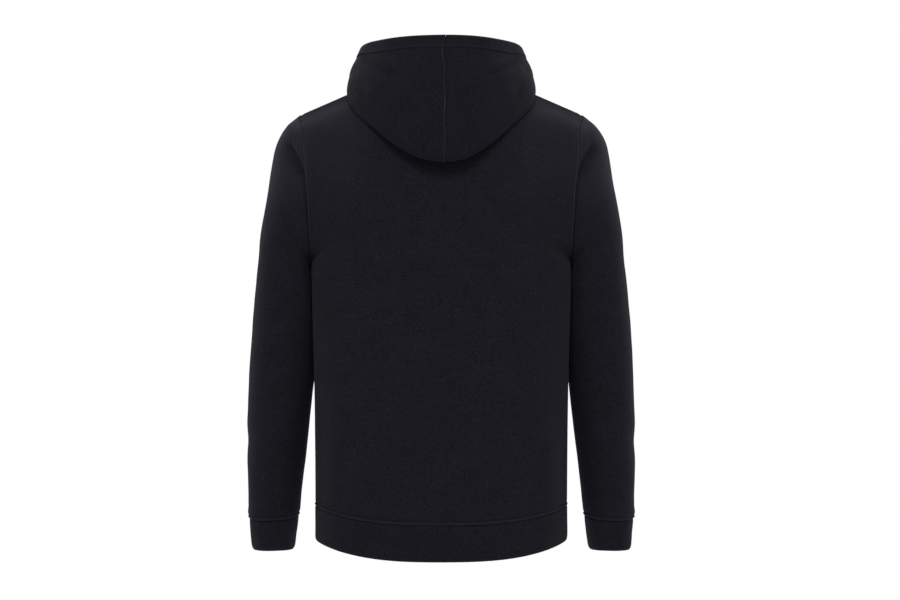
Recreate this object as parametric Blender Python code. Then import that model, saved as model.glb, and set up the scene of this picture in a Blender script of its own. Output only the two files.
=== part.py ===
"""Pullover hoodie, hollow and filled out as if worn, with the hood down.

Run with: blender --background --python part.py

Metres, +Z up. The front faces -Y and the wearer's left is +X. The origin is the middle of the neck base, at
the height of the two points where the shoulder seams meet the hood.

Each panel is worked out as a grid of points on the outer face of the cloth, in millimetres, and then given
its thickness towards the inside of the garment. Panels that are sewn together share the points of their seam.
"""

import bpy
import numpy as np
from mathutils import Vector
from mathutils.bvhtree import BVHTree

MM = 0.001

# Cloth, in millimetres
BODY_CLOTH = 2.0  # loopback sweatshirt fleece
RIB_BAND = 3.0  # hem band and cuffs, two layers of knit
SEAM_GAP = 0.3  # between two sewn pieces
SHARPEST_BEND = 2.2  # how much further in a wall's inner face may go at a bend
EDGE_BEVEL = 1.1  # how far a wall's inner edge stays back from its seam
REST_CLEARANCE = 1.8  # between a sleeve and the panel it hangs against
HOOD_CLEARANCE = 3.0  # under the hood, where it lies on the back and the shoulders
SETTLE_REACH = 16.0  # how far a piece can reach into another before it is moved out
SETTLE_PASSES = 3
CELL_SAMPLES = np.array([(1, 0, 0, 0), (0.5, 0.5, 0, 0), (0.5, 0, 0, 0.5), (0.25, 0.25, 0.25, 0.25)])
CASING_CLOTH = 4.0  # the turned hem along the hood's face edge, at the back of the neck
CASING_PROUD = 1.4  # how far that hem stands out of the hood's outer face
CASING_FADE_FROM, CASING_FADE_OVER = 40.0, 100.0  # hood lengths over which that hem comes to its full size
SHARP_ANGLE = 50  # degrees between two faces from which an edge is drawn sharp
CLOTH_ROUGHNESS = 0.9

# How finely the panels are divided
NECK_CELLS = 6  # half of the back or the front neckline
SHOULDER_CELLS = 7  # one shoulder seam
LOWER_ROWS = 11  # hem seam to underarm
UPPER_ROWS = 13  # underarm to shoulder seam
SLEEVE_ROWS = 24  # armhole to cuff seam
CUFF_ROWS = 3
BAND_ROWS = 3
HOOD_SPLIT = 2  # hood columns to each column of the neckline
HOOD_ROWS = 18  # casing edge to neck seam
CASING_ROWS = 2
CURVE_SAMPLES = 241  # places on a curve from which evenly spaced ones are chosen
UPPER_CROWD = 0.92  # below 1, the panels' rows above the underarm crowd towards the shoulder
SLEEVE_CROWD = 1.15  # above 1, the sleeve's rows crowd towards the armhole
EASE_ROWS, EASE_LEAST = 8, 0.3  # the sleeve's clearance grows from a share of it to all of it over these rows

BACK, FRONT = 1, -1
NECK_SHARE = NECK_CELLS / (NECK_CELLS + SHOULDER_CELLS)  # the neckline's share of a half panel's columns


def table(columns, *rows):
    """The rows as one array for each named column."""
    return dict(zip(columns.split(), np.array(rows, float).T))


# The torso below the underarm. Each level is a closed ring. Widths are half widths, and the depths run from
# the side seam to the middle of the back and of the front. The drops say how much lower it hangs there.
TORSO = table(
    "z half_width back front side_y squareness back_drop front_drop",
    (-686.5, 188.2, 106, 118, 10, 2.45, 22.2, 10),  # hem edge
    (-635.5, 187.8, 109, 120, 10, 2.5, 21.5, 9),  # hem seam
    (-560, 188.2, 112, 124, 11, 2.5, 10.0, 5),  # hip
    (-450, 189.6, 105, 126, 12, 2.5, 2.0, 1),  # waist
    (-360, 192.2, 104, 130, 12, 2.5, 0.0, 0),  # ribs
    (-275, 194.0, 108, 132, 12, 2.4, 0.0, 0),  # chest, at the underarm
)
HEM_EDGE, HEM_SEAM, UNDERARM = TORSO["z"][0], TORSO["z"][1], TORSO["z"][-1]

# The torso above the underarm. Each row runs from the armhole seam (arm), through the line that goes up to
# the neck end of the shoulder seam (neck), to the centre back or centre front (mid).
BACK_ROWS = table(
    "arm_x arm_y arm_z neck_x neck_y neck_z mid_y mid_z",
    (192.6, 44, -260, 108, 112, -243, 122, -240),
    (193.8, 67, -224, 106, 114, -200, 123, -196),
    (196.6, 74, -172, 102, 111, -148, 120, -146),
    (202.0, 67, -120, 97, 98, -92, 110, -95),
    (205.0, 42, -77, 96, 60, -43, 92, -53),
)
FRONT_ROWS = table(
    "arm_x arm_y arm_z neck_x neck_y neck_z mid_y mid_z",
    (191.8, -22, -262, 108, -112, -243, -124, -247),
    (193.0, -47, -226, 107, -115, -205, -124, -217),
    (196.0, -57, -172, 104, -110, -157, -119, -184),
    (201.5, -52, -120, 99, -93, -104, -110, -152),
    (205.0, -34, -77, 96, -62, -47, -99, -126),
)
FRONT_ROLL = 0.5  # how much rounder than a flat slope the front is, next to the shoulder seam
BACK_ROLL = -1.0
ROLL_SHARE = 0.35  # how far down towards the first tabled row it is roundest
SHOULDER_POINT = np.array((213.0, 5.0, -54.5))  # where shoulder seam and armhole meet
NECK_POINT = np.array((88.0, 5.0, 0.0))  # where shoulder seam and neckline meet
NECK_BACK = np.array((0.0, 68.0, -14.0))
NECK_FRONT = np.array((0.0, -80.0, -92.0))
BACK_DIP, FRONT_DIP = 1.0, 1.5  # above 1, the neckline stays high for longer before it dips
HEM_SAG_POWER = 2.85  # above 2, the hem stays low for longer before it rises to the side seam
SEAM_SHARPNESS = 6  # above 1, the bend between side seam and armhole keeps to the columns next to them
ROLL_OUT, ROLL_UP = 0.5, 0.87  # the way out of the cloth next to the shoulder seam
TORSO_AXIS_Y = 10.0
SHOULDER_LEVEL = -120.0  # above this height, the way out of the torso is also up
SHOULDER_RISE = 60.0

# The sleeve, as rings that each hold their outermost and innermost point.
SLEEVE = table(
    "outer_x outer_y outer_z inner_x inner_y inner_z half_depth squareness",
    (229.8, 4, -66, 194.8, 4, -283, 68, 2.1),  # head of the sleeve
    (243.8, 1, -89, 194.5, -5, -291, 69, 2.1),
    (254.3, -4, -121, 193.8, -13, -300, 69, 2.2),
    (262.8, -10, -168, 193.0, -20, -314, 69, 2.3),
    (270.4, -15, -225, 192.4, -24, -333, 68, 2.3),  # biceps
    (278.4, -20, -297, 192.0, -28, -358, 66, 2.3),
    (285.4, -25, -368, 191.8, -29, -391, 62, 2.3),
    (291.0, -28, -441, 191.0, -31, -441, 57, 2.3),  # elbow
    (294.1, -33, -530, 201.2, -33, -530, 51, 2.2),
    (295.0, -41, -600, 209.0, -41, -600, 44, 2.2),
    (293.0, -47, -657, 215.6, -47, -657, 39, 2.1),  # cuff seam
)
CUFF = table(
    "outer_x outer_y outer_z inner_x inner_y inner_z half_depth squareness",
    (292.0, -47, -657, 215.6, -47, -657, 38, 2.1),
    (291.0, -49, -680, 217.6, -49, -680, 36, 2.1),
    (288.6, -51, -708, 222.4, -51, -708, 33, 2.1),
)

# The hood lies back and open. Each line runs from the centre back (0 degrees) round one side of the neck to
# the centre front (180 degrees), at its own distance from the neck's upright axis.
HOOD_RIM = table(  # the edge of the face opening
    "angle radius z",
    (0, 108, 56),
    (30, 108, 55.5),
    (60, 110, 53),
    (90, 115, 47),
    (115, 107, 22),
    (140, 94, -20),
    (162, 90, -54),
    (180, 88, -70),
)
HOOD_CASING = table(  # the stitching line of the turned hem along that edge
    "angle radius z",
    (0, 114, 37),
    (30, 115, 36.5),
    (60, 119, 35.5),
    (90, 127, 33),
    (115, 120, 7),
    (140, 105, -34),
    (162, 96, -65),
    (180, 86, -78.5),
)
HOOD_BELLY = table(
    "angle radius z",
    (0, 143, -50),
    (30, 140, -36),
    (60, 137, -12),
    (90, 138.5, -3),
    (115, 133, -24),
    (140, 115, -53),
    (162, 98, -76),
    (180, 84.5, -83),
)
HOOD_BOTTOM = table(
    "angle radius z",
    (0, 137, -132),
    (20, 137, -117),
    (45, 136.5, -80),
    (70, 139.5, -46),
    (90, 139, -24),
    (115, 128, -37),
    (140, 113, -66),
    (162, 96, -85),
    (180, 83, -87),
)
HOOD_UNDER = table(  # the hidden layer, close to the back and the shoulders
    "angle radius z",
    (0, 118, -114),
    (20, 118, -99),
    (45, 117, -60),
    (70, 118, -26),
    (90, 119, -8),
    (115, 112, -24),
    (140, 102, -60),
    (162, 90, -86),
    (180, 81.8, -89.5),
)
NECK_ROLL_OUT = 8.0  # the cloth stands up from the neck seam and rolls over
NECK_ROLL_UP = 11.0
ROLL_FADE_ANGLE, ROLL_FADE_LEAST = 40.0, 0.12  # the roll fades over these last degrees to this share

# The largest folds. Each is a groove (depth below 0) or a roll of cloth between two places, as seen from one
# side: the back (0), the front (1) or the wearer's left (2). A place starts with its x, or y from the left.
SLEEVE_FOLDS = table(
    "side from_a from_z to_a to_z width depth",
    (0, 228, -92, 210, -142, 13, -4.0),  # under the head of the sleeve, at the back
    (0, 214, -90, 202, -138, 10, 2.0),
    (0, 262, -415, 205, -452, 17, -3.0),  # behind the elbow
    (1, 285, -418, 208, -462, 17, -4.0),  # the bend of the elbow
    (1, 280, -452, 212, -500, 15, -3.0),
    (1, 246, -150, 208, -215, 20, -3.5),  # down from the front of the shoulder
    (2, 20, -250, -60, -300, 22, -2.5),  # across the upper arm
    (0, 288, -612, 222, -628, 13, -2.5),  # above the cuff
    (1, 284, -606, 226, -634, 13, -3.0),
)

CLOTH_COLOUR = (0.0110, 0.0104, 0.0152, 1.0)  # washed black with a blue cast
RIB_COLOUR = (0.0105, 0.0100, 0.0146, 1.0)


def spline(knots, values, at):
    """A natural cubic spline through the values at the knots, read at the places given."""
    knots = np.asarray(knots, float)
    values = np.asarray(values, float)
    count = len(knots)
    flat = values.reshape(count, -1)
    step = np.diff(knots)
    system = np.eye(count)
    right = np.zeros_like(flat)
    for i in range(1, count - 1):
        system[i, i - 1 : i + 2] = step[i - 1], 2 * (step[i - 1] + step[i]), step[i]
        right[i] = 6 * ((flat[i + 1] - flat[i]) / step[i] - (flat[i] - flat[i - 1]) / step[i - 1])
    bend = np.linalg.solve(system, right)
    at = np.asarray(at, float)
    i = np.clip(np.searchsorted(knots, at, side="right") - 1, 0, count - 2)
    wide = step[i][..., None]
    past = (at - knots[i])[..., None]
    left = wide - past
    read = (bend[i] * left**3 + bend[i + 1] * past**3) / (6 * wide)
    read += (flat[i] / wide - bend[i] * wide / 6) * left
    read += (flat[i + 1] / wide - bend[i + 1] * wide / 6) * past
    return read.reshape(at.shape + values.shape[1:])


def along(line, shares):
    """Points at these shares of a polyline's length."""
    run = np.concatenate([[0], np.cumsum(np.linalg.norm(np.diff(line, axis=0), axis=1))])
    places = np.asarray(shares) * run[-1]
    return np.stack([np.interp(places, run, line[:, k]) for k in range(line.shape[1])], axis=-1)


def split(line, parts):
    """The polyline with each of its stretches divided into this many."""
    places = np.arange((len(line) - 1) * parts + 1) / parts
    knots = np.arange(len(line))
    return np.stack([np.interp(places, knots, line[:, k]) for k in range(3)], axis=-1)


# ---------------------------------------------------------------- torso


def half_columns():
    """Where the columns of a half panel stand, from 0 at the middle to 1 at the side."""
    neck = np.linspace(0, NECK_SHARE, NECK_CELLS + 1)
    shoulder = np.linspace(NECK_SHARE, 1, SHOULDER_CELLS + 1)
    return np.concatenate([neck, shoulder[1:]])


def torso_row(face, columns, z):
    """One row below the underarm: part of a superellipse, with its points spread evenly along it."""
    size = {name: spline(TORSO["z"], TORSO[name], z) for name in TORSO}
    depth, drop = (size["back"], size["back_drop"]) if face == BACK else (size["front"], size["front_drop"])
    turn = np.linspace(0, np.pi / 2, CURVE_SAMPLES)
    power = 2 / size["squareness"]
    dense = np.stack([size["half_width"] * np.sin(turn) ** power, depth * np.cos(turn) ** power], axis=1)
    x, y = along(dense, np.abs(columns)).T
    sag = drop * (1 - (x / size["half_width"]) ** HEM_SAG_POWER)
    return np.stack([np.sign(columns) * x, size["side_y"] + face * y, z - sag], axis=1)


def upper_row(face, columns, row):
    """One of the tabled rows above the underarm, bent smoothly through its five tabled places."""
    places = np.array([-1, -NECK_SHARE, 0, NECK_SHARE, 1])
    arm = np.array([row["arm_x"], row["arm_y"], row["arm_z"]])
    neck = np.array([row["neck_x"], row["neck_y"], row["neck_z"]])
    mid = np.array([0.0, row["mid_y"], row["mid_z"]])
    flip = np.array([-1, 1, 1])
    return spline(places, np.array([arm * flip, neck * flip, mid, neck, arm]), columns)


def top_row(face, columns):
    """The shoulder seams, and between them the neckline."""
    middle = NECK_BACK if face == BACK else NECK_FRONT
    size = np.abs(columns)
    turn = np.clip(size / NECK_SHARE, 0, 1) * np.pi / 2
    dip = np.cos(turn) ** (BACK_DIP if face == BACK else FRONT_DIP)
    x = NECK_POINT[0] * np.sin(turn)
    y = NECK_POINT[1] + (middle[1] - NECK_POINT[1]) * np.cos(turn)
    z = NECK_POINT[2] + (middle[2] - NECK_POINT[2]) * dip
    neckline = np.stack([x, y, z], axis=1)
    share = np.clip((size - NECK_SHARE) / (1 - NECK_SHARE), 0, 1)[:, None]
    seam = NECK_POINT + (SHOULDER_POINT - NECK_POINT) * share
    points = np.where(size[:, None] <= NECK_SHARE, neckline, seam)
    points[:, 0] *= np.sign(columns)
    return points


def torso_rows(face, columns, heights):
    """Rows of points at these heights: 0 at the hem seam, 1 at the underarm, 2 at the shoulder seam."""
    rows = BACK_ROWS if face == BACK else FRONT_ROWS
    count = len(rows["mid_y"]) + 1
    lower_z = [z for z in TORSO["z"] if z >= HEM_SEAM]
    lower = [torso_row(face, columns, z) for z in lower_z]
    upper = [upper_row(face, columns, {name: rows[name][i] for name in rows}) for i in range(count - 1)]
    top = top_row(face, columns)
    amount = (BACK_ROLL if face == BACK else FRONT_ROLL) * np.sin(np.pi * np.abs(columns))
    rounder = amount[:, None] * np.array([0, face * ROLL_OUT, ROLL_UP])
    upper.append(top * (1 - ROLL_SHARE) + upper[-1] * ROLL_SHARE + rounder)
    stack = np.array(lower + upper + [top])
    lower_knots = (np.array(lower_z) - HEM_SEAM) / (UNDERARM - HEM_SEAM)
    # Row spacing above the underarm follows the armhole's own length.
    edge = np.array([stack[len(lower) - 1 + i, -1] for i in range(count + 2)])
    run = np.concatenate([[0], np.cumsum(np.linalg.norm(np.diff(edge, axis=0), axis=1))])
    knots = np.concatenate([lower_knots, 1 + run[1:] / run[-1]])
    whole = spline(knots, stack, heights)
    # The armhole seam turns sharply out of the side seam, so the columns near it are bent apart there.
    first = len(lower) - 1
    below = spline(knots[: first + 1], stack[: first + 1], np.minimum(heights, 1))
    above = spline(knots[first:], stack[first:], np.maximum(heights, 1))
    parted = np.where(np.asarray(heights)[:, None, None] <= 1, below, above)
    sharp = (np.abs(columns) ** SEAM_SHARPNESS)[None, :, None]
    return whole * (1 - sharp) + parted * sharp


def body_panel(face):
    half = half_columns()
    columns = np.concatenate([-half[:0:-1], half])
    lower = np.linspace(0, 1, LOWER_ROWS + 1)
    upper = 1 + np.linspace(0, 1, UPPER_ROWS + 1) ** UPPER_CROWD
    return torso_rows(face, columns, np.concatenate([lower, upper[1:]]))


def hem_ring(z, columns):
    """A whole ring of the torso, back then front, without repeating its first point."""
    back = torso_row(BACK, columns, z)
    front = torso_row(FRONT, columns[::-1], z)
    return np.concatenate([back, front[1:-1]])


# ---------------------------------------------------------------- sleeves and cuffs


def ring(size, turns):
    """A closed ring from its outermost and innermost points. Turn 0 is outermost, a quarter turn the back."""
    outer = np.array([size["outer_x"], size["outer_y"], size["outer_z"]])
    inner = np.array([size["inner_x"], size["inner_y"], size["inner_z"]])
    power = 2 / size["squareness"]
    reach = np.sign(np.cos(turns)) * np.abs(np.cos(turns)) ** power
    depth = np.sign(np.sin(turns)) * np.abs(np.sin(turns)) ** power
    middle, arm = (outer + inner) / 2, (outer - inner) / 2
    return middle + arm * reach[:, None] + np.array([0, size["half_depth"], 0]) * depth[:, None]


def even_ring(size, shares):
    """The same ring with its points spread evenly on the back half and on the front half."""
    dense = np.linspace(0, np.pi, CURVE_SAMPLES)
    shares = np.asarray(shares)
    back = along(ring(size, dense), np.clip(shares, 0, 1))
    front = along(ring(size, -dense), np.clip(2 - shares, 0, 1))
    return np.where((shares <= 1)[:, None], back, front)


def armhole(back, front):
    """The armhole on the +X side, from the shoulder point down the back and up the front."""
    down = back[LOWER_ROWS:, -1][::-1]
    up = front[LOWER_ROWS:, -1]
    return np.concatenate([down, up[1:-1]])


def sleeve_rows(first, shares, downs):
    """Rows of points on the sleeve, from the armhole (0) to the cuff seam (1)."""
    count = len(SLEEVE["outer_x"])
    rings = [first]
    for i in range(count):
        rings.append(even_ring({name: SLEEVE[name][i] for name in SLEEVE}, shares))
    rings = np.array(rings)
    spine = rings.mean(axis=1)
    run = np.concatenate([[0], np.cumsum(np.linalg.norm(np.diff(spine, axis=0), axis=1))])
    return spline(run / run[-1], rings, downs)


def band_rows(sizes, shares, downs):
    count = len(sizes["outer_x"])
    rings = [even_ring({name: sizes[name][i] for name in sizes}, shares) for i in range(count)]
    rings = np.array(rings)
    return spline(np.linspace(0, 1, len(rings)), rings, downs)


# ---------------------------------------------------------------- hood


def hood_line(line, angles):
    radius = spline(line["angle"], line["radius"], angles)
    height = spline(line["angle"], line["z"], angles)
    turn = np.radians(angles)
    return np.stack([radius * np.sin(turn), radius * np.cos(turn), height], axis=1)


def hood_half(neck):
    """One half of the hood on the +X side, from the points of its neck seam, centre back to centre front."""
    angles = np.degrees(np.arctan2(neck[:, 0], neck[:, 1]))
    angles[0], angles[-1] = 0, 180
    tables = (HOOD_RIM, HOOD_CASING, HOOD_BELLY, HOOD_BOTTOM, HOOD_UNDER)
    lines = [hood_line(line, angles) for line in tables]
    out = np.stack([np.sin(np.radians(angles)), np.cos(np.radians(angles)), np.zeros(len(angles))], axis=1)
    fade = np.clip((180 - angles) / ROLL_FADE_ANGLE, ROLL_FADE_LEAST, 1)[:, None]
    roll = neck + (out * NECK_ROLL_OUT + np.array([0, 0, NECK_ROLL_UP])) * fade
    lines += [roll, neck]
    rows = []
    for i in range(len(angles)):
        path = np.array([line[i] for line in lines])
        run = np.concatenate([[0], np.cumsum(np.linalg.norm(np.diff(path, axis=0), axis=1))])
        dense = spline(run, path, np.linspace(0, run[-1], CURVE_SAMPLES))
        hem = run[1] / run[-1]
        casing = along(dense, np.linspace(0, hem, CASING_ROWS + 1))
        rest = along(dense, np.linspace(hem, 1, HOOD_ROWS - CASING_ROWS + 1))
        rows.append(np.concatenate([casing, rest[1:]]))
    return np.array(rows)


def with_casing(hood):
    """The hood with its turned hem standing proud of it, and the thickness of its wall at each point."""
    length = np.linalg.norm(np.diff(hood, axis=1), axis=2).sum(axis=1)
    # There is nothing to thicken where the hood narrows to its front end.
    share = np.clip((length - CASING_FADE_FROM) / CASING_FADE_OVER, 0, 1)
    wall = np.full(hood.shape[:2], BODY_CLOTH)
    wall[:, : CASING_ROWS + 1] += ((CASING_CLOTH - BODY_CLOTH) * share)[:, None]
    proud = np.zeros(hood.shape[:2])
    proud[:, 1:CASING_ROWS] = CASING_PROUD * share[:, None]
    return hood - normals(hood, False) * proud[..., None], wall


# ---------------------------------------------------------------- folds


def folded(grid, outward, folds):
    """The grid with the tabled folds pressed into it. Outward holds each point's way out of the cloth."""
    views = np.array([(0.0, 1.0, 0.0), (0.0, -1.0, 0.0), (1.0, 0.0, 0.0)])
    moved = grid.copy()
    for k, side in enumerate(folds["side"].astype(int)):
        plane = [1, 2] if side == 2 else [0, 2]
        seen = np.clip(outward @ views[side], 0, 1)
        start = np.array([folds["from_a"][k], folds["from_z"][k]])
        run = np.array([folds["to_a"][k], folds["to_z"][k]]) - start
        place = grid[..., plane] - start
        share = np.clip(place @ run / (run @ run), 0, 1)
        off = np.linalg.norm(place - share[..., None] * run, axis=-1)
        amount = folds["depth"][k] * np.exp(-((off / folds["width"][k]) ** 2)) * seen
        moved += outward * amount[..., None]
    return moved


# ---------------------------------------------------------------- solids


def mirrored(grid):
    return grid * np.array([-1, 1, 1])


def headings(grid, axis, closed):
    """At each point, the mean of the unit steps before and after it, and half the change between them."""
    grid = np.moveaxis(grid, axis, 0)
    step = np.roll(grid, -1, axis=0) - grid if closed else np.diff(grid, axis=0)
    step /= np.linalg.norm(step, axis=-1, keepdims=True)
    before = np.roll(step, 1, axis=0) if closed else np.concatenate([step[:1], step])
    after = step if closed else np.concatenate([step, step[-1:]])
    return np.moveaxis((before + after) / 2, 0, axis), np.moveaxis((after - before) / 2, 0, axis)


def normals(grid, ring_closed):
    """Normals of a grid of points, whose columns may close into rings. They are longer than 1 at a sharp
    bend, so that a wall keeps its thickness there."""
    across, across_bend = headings(grid, 1, ring_closed)
    down, down_bend = headings(grid, 0, False)
    found = np.cross(across, down)
    found /= np.linalg.norm(found, axis=2, keepdims=True)
    bend = np.maximum(np.abs((across_bend * found).sum(axis=2)), np.abs((down_bend * found).sum(axis=2)))
    straight = np.sqrt(np.clip(1 - bend**2, 1 / SHARPEST_BEND**2, 1))
    return found / straight[..., None]


def pulled_back(grid, by, ring_closed):
    """The grid with its open edges moved in along the cloth."""
    moved = grid.copy()

    def pull(edge, inner):
        step = inner - edge
        length = np.linalg.norm(step, axis=-1, keepdims=True)
        return edge + step * np.minimum(by / length, 0.5)

    moved[0], moved[-1] = pull(grid[0], grid[1]), pull(grid[-1], grid[-2])
    if not ring_closed:
        copy = moved.copy()
        moved[:, 0], moved[:, -1] = pull(copy[:, 0], copy[:, 1]), pull(copy[:, -1], copy[:, -2])
    return moved


def cloth(name, grid, thickness, inside, colour, ring_closed=False):
    """A solid wall whose outer face is the grid. The sign of inside says which way along the normals."""
    outer = pulled_back(grid, SEAM_GAP / 2, ring_closed)
    wall = np.asarray(thickness, float)
    wall = wall[..., None] if wall.ndim else wall
    inner = outer + normals(grid, ring_closed) * wall * inside
    inner = pulled_back(inner, EDGE_BEVEL, ring_closed)
    rows, columns = outer.shape[:2]
    points = np.concatenate([outer.reshape(-1, 3), inner.reshape(-1, 3)]) * MM
    at = lambda layer, i, j: layer * rows * columns + i * columns + j % columns
    across = columns if ring_closed else columns - 1
    faces = []
    for i in range(rows - 1):
        for j in range(across):
            corners = [(i, j), (i + 1, j), (i + 1, j + 1), (i, j + 1)]
            a, b, c, d = (outer[r, k % columns] for r, k in corners)
            short = np.linalg.norm(c - a) < np.linalg.norm(d - b)
            for tri in [(0, 1, 2), (0, 2, 3)] if short else [(0, 1, 3), (1, 2, 3)]:
                faces.append([at(0, *corners[k]) for k in tri])
                faces.append([at(1, *corners[k]) for k in reversed(tri)])
    for j in range(across):
        for i, flip in ((0, False), (rows - 1, True)):
            strip = [at(0, i, j), at(0, i, j + 1), at(1, i, j + 1), at(1, i, j)]
            faces += edge_faces(strip, flip)
    if not ring_closed:
        for i in range(rows - 1):
            for j, flip in ((0, True), (columns - 1, False)):
                strip = [at(0, i, j), at(0, i + 1, j), at(1, i + 1, j), at(1, i, j)]
                faces += edge_faces(strip, flip)
    if inside < 0:
        faces = [face[::-1] for face in faces]
    mesh = bpy.data.meshes.new(name)
    mesh.from_pydata(points.tolist(), [], faces)
    mesh.shade_smooth()
    mesh.set_sharp_from_angle(angle=np.radians(SHARP_ANGLE))
    mesh.materials.append(material(colour))
    obj = bpy.data.objects.new(name, mesh)
    bpy.context.scene.collection.objects.link(obj)
    return obj


def edge_faces(strip, flip):
    faces = [[strip[0], strip[1], strip[2]], [strip[0], strip[2], strip[3]]]
    return [face[::-1] for face in faces] if flip else faces


def material(colour):
    name = "rib" if colour == RIB_COLOUR else "fleece"
    made = bpy.data.materials.get(name)
    if made is None:
        made = bpy.data.materials.new(name)
        made.use_nodes = True
        shader = made.node_tree.nodes["Principled BSDF"]
        shader.inputs["Base Color"].default_value = colour
        shader.inputs["Roughness"].default_value = CLOTH_ROUGHNESS
        shader.inputs["Metallic"].default_value = 0.0
    return made


def tree_of(*grids):
    """The outer faces of some panels, for finding what is nearest on them."""
    points, faces = [], []
    for grid in grids:
        rows, columns = grid.shape[:2]
        start = len(points)
        points += [Vector(p) for p in grid.reshape(-1, 3)]
        for i in range(rows - 1):
            for j in range(columns - 1):
                a = start + i * columns + j
                faces.append((a, a + columns, a + columns + 1, a + 1))
    return BVHTree.FromPolygons(points, faces)


def settled(grid, tree, clearance, closed=False):
    """The grid with each cell that comes nearer to the panels than the clearance moved away from them. The
    clearance may be given for each row."""
    moved = grid.copy()
    rows, columns = grid.shape[:2]
    wanted = np.broadcast_to(np.reshape(clearance, (-1, 1)), (rows, 1))[:, 0]
    for _ in range(SETTLE_PASSES):
        push = np.zeros_like(moved)
        for i, j in np.ndindex(rows - 1, columns if closed else columns - 1):
            corners = [(i, j), (i + 1, j), (i + 1, (j + 1) % columns), (i, (j + 1) % columns)]
            cell = np.array([moved[corner] for corner in corners])
            for share in CELL_SAMPLES:
                away = missing_gap(share @ cell, tree, wanted[i])
                for corner, weight in zip(corners, share):
                    if weight > 0 and away @ away > push[corner] @ push[corner]:
                        push[corner] = away
        moved += push
    return moved


def missing_gap(place, tree, wanted):
    """How far a point has to move to be clear of the panels."""
    near, normal, _, distance = tree.find_nearest(Vector(place))
    if distance > SETTLE_REACH:
        return np.zeros(3)
    normal = normal if normal.dot(away_from_axis(near)) > 0 else -normal
    return np.array(normal) * max(0.0, wanted - (Vector(place) - near).dot(normal))


def away_from_axis(point):
    """A direction that leaves the torso at a point of its surface."""
    return Vector((point.x, point.y - TORSO_AXIS_Y, SHOULDER_RISE if point.z > SHOULDER_LEVEL else 0))


def main():
    for obj in list(bpy.data.objects):
        bpy.data.objects.remove(obj)

    back, front = body_panel(BACK), body_panel(FRONT)
    cloth("back", back, BODY_CLOTH, 1, CLOTH_COLOUR)
    cloth("front", front, BODY_CLOTH, -1, CLOTH_COLOUR)

    half = half_columns()
    columns = np.concatenate([-half[:0:-1], half])
    band = np.array([hem_ring(z, columns) for z in np.linspace(HEM_EDGE, HEM_SEAM, BAND_ROWS + 1)])
    cloth("hem_band", band, RIB_BAND, 1, RIB_COLOUR, ring_closed=True)

    torso = tree_of(back, front)
    first = armhole(back, front)
    shares = np.linspace(0, 2, len(first) + 1)[:-1]
    sleeve = sleeve_rows(first, shares, np.linspace(0, 1, SLEEVE_ROWS + 1) ** SLEEVE_CROWD)
    near_seam = np.clip(np.arange(SLEEVE_ROWS) / EASE_ROWS, EASE_LEAST, 1)
    outward = -normals(sleeve, True)
    outward /= np.linalg.norm(outward, axis=-1, keepdims=True)
    sleeve[1:-1] = folded(sleeve[1:-1], outward[1:-1], SLEEVE_FOLDS)
    sleeve[1:] = settled(sleeve[1:], torso, REST_CLEARANCE * near_seam, closed=True)
    cuff = band_rows(CUFF, shares, np.linspace(0, 1, CUFF_ROWS + 1))
    for side, turn in (("left", 1), ("right", -1)):
        place = (lambda grid: grid) if turn == 1 else mirrored
        cloth(f"sleeve_{side}", place(sleeve), BODY_CLOTH, turn, CLOTH_COLOUR, ring_closed=True)
        cloth(f"cuff_{side}", place(cuff), RIB_BAND, turn, RIB_COLOUR, ring_closed=True)

    middle = len(columns) // 2
    back_neck = back[-1, middle : middle + NECK_CELLS + 1]
    front_neck = front[-1, middle : middle + NECK_CELLS + 1][::-1]
    seam = np.concatenate([back_neck, front_neck[1:]])
    hood = hood_half(split(seam, HOOD_SPLIT))
    hood[:, :-2] = settled(hood[:, :-2], torso, HOOD_CLEARANCE)
    hood, wall = with_casing(hood)
    cloth("hood_left", hood, wall, 1, CLOTH_COLOUR)
    cloth("hood_right", mirrored(hood), wall, -1, CLOTH_COLOUR)


main()
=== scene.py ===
# %% [markdown]
# # A pullover hoodie, hollow and filled out as if worn
#
# This hoodie is nine cut pieces of sweatshirt fleece, sewn with rows of stitches. The frame already holds
# those nine pieces as plain solid walls at their real size. This lesson dresses them: each wall gets a
# finer shell of nearly the same form, with the creases, seam ridges and stitches that a plain solid leaves
# out, and cloth that looks like cloth.
#
# A cloth simulation could drape the pieces, but it would also lose the worn shape that the pattern gives.
# So the shells follow the same curves as the solids, at a finer step, and the creases are placed one by one.

import bpy
import numpy as np
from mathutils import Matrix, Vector, noise
from mathutils.bvhtree import BVHTree


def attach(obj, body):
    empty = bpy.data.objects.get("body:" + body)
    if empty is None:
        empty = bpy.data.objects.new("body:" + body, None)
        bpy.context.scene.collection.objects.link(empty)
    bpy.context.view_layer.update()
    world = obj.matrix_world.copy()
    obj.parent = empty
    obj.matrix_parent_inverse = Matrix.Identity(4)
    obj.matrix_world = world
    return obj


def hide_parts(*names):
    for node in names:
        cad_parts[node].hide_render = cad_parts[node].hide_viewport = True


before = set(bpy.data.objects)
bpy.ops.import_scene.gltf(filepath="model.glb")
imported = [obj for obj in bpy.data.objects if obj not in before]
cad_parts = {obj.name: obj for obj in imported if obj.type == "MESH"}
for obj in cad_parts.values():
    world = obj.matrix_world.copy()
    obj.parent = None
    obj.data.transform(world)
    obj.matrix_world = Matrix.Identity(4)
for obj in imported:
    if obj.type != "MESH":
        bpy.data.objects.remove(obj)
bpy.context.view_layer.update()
MM = 0.001

# %% [markdown]
# ## Camera
#
# The garment is seen square from behind, from a few metres away, so that its sides hardly converge. A
# portrait lens at that distance does the same. Where the lens axis meets the garment sets what lies in the
# middle of the frame.

# %% Camera
CAMERA_DISTANCE = 3.4
CAMERA_X = -0.0130
CAMERA_Z = -0.330
LENS_MM = 90.7
SENSOR_MM = 36.0
HALF_TURN = np.pi

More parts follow.
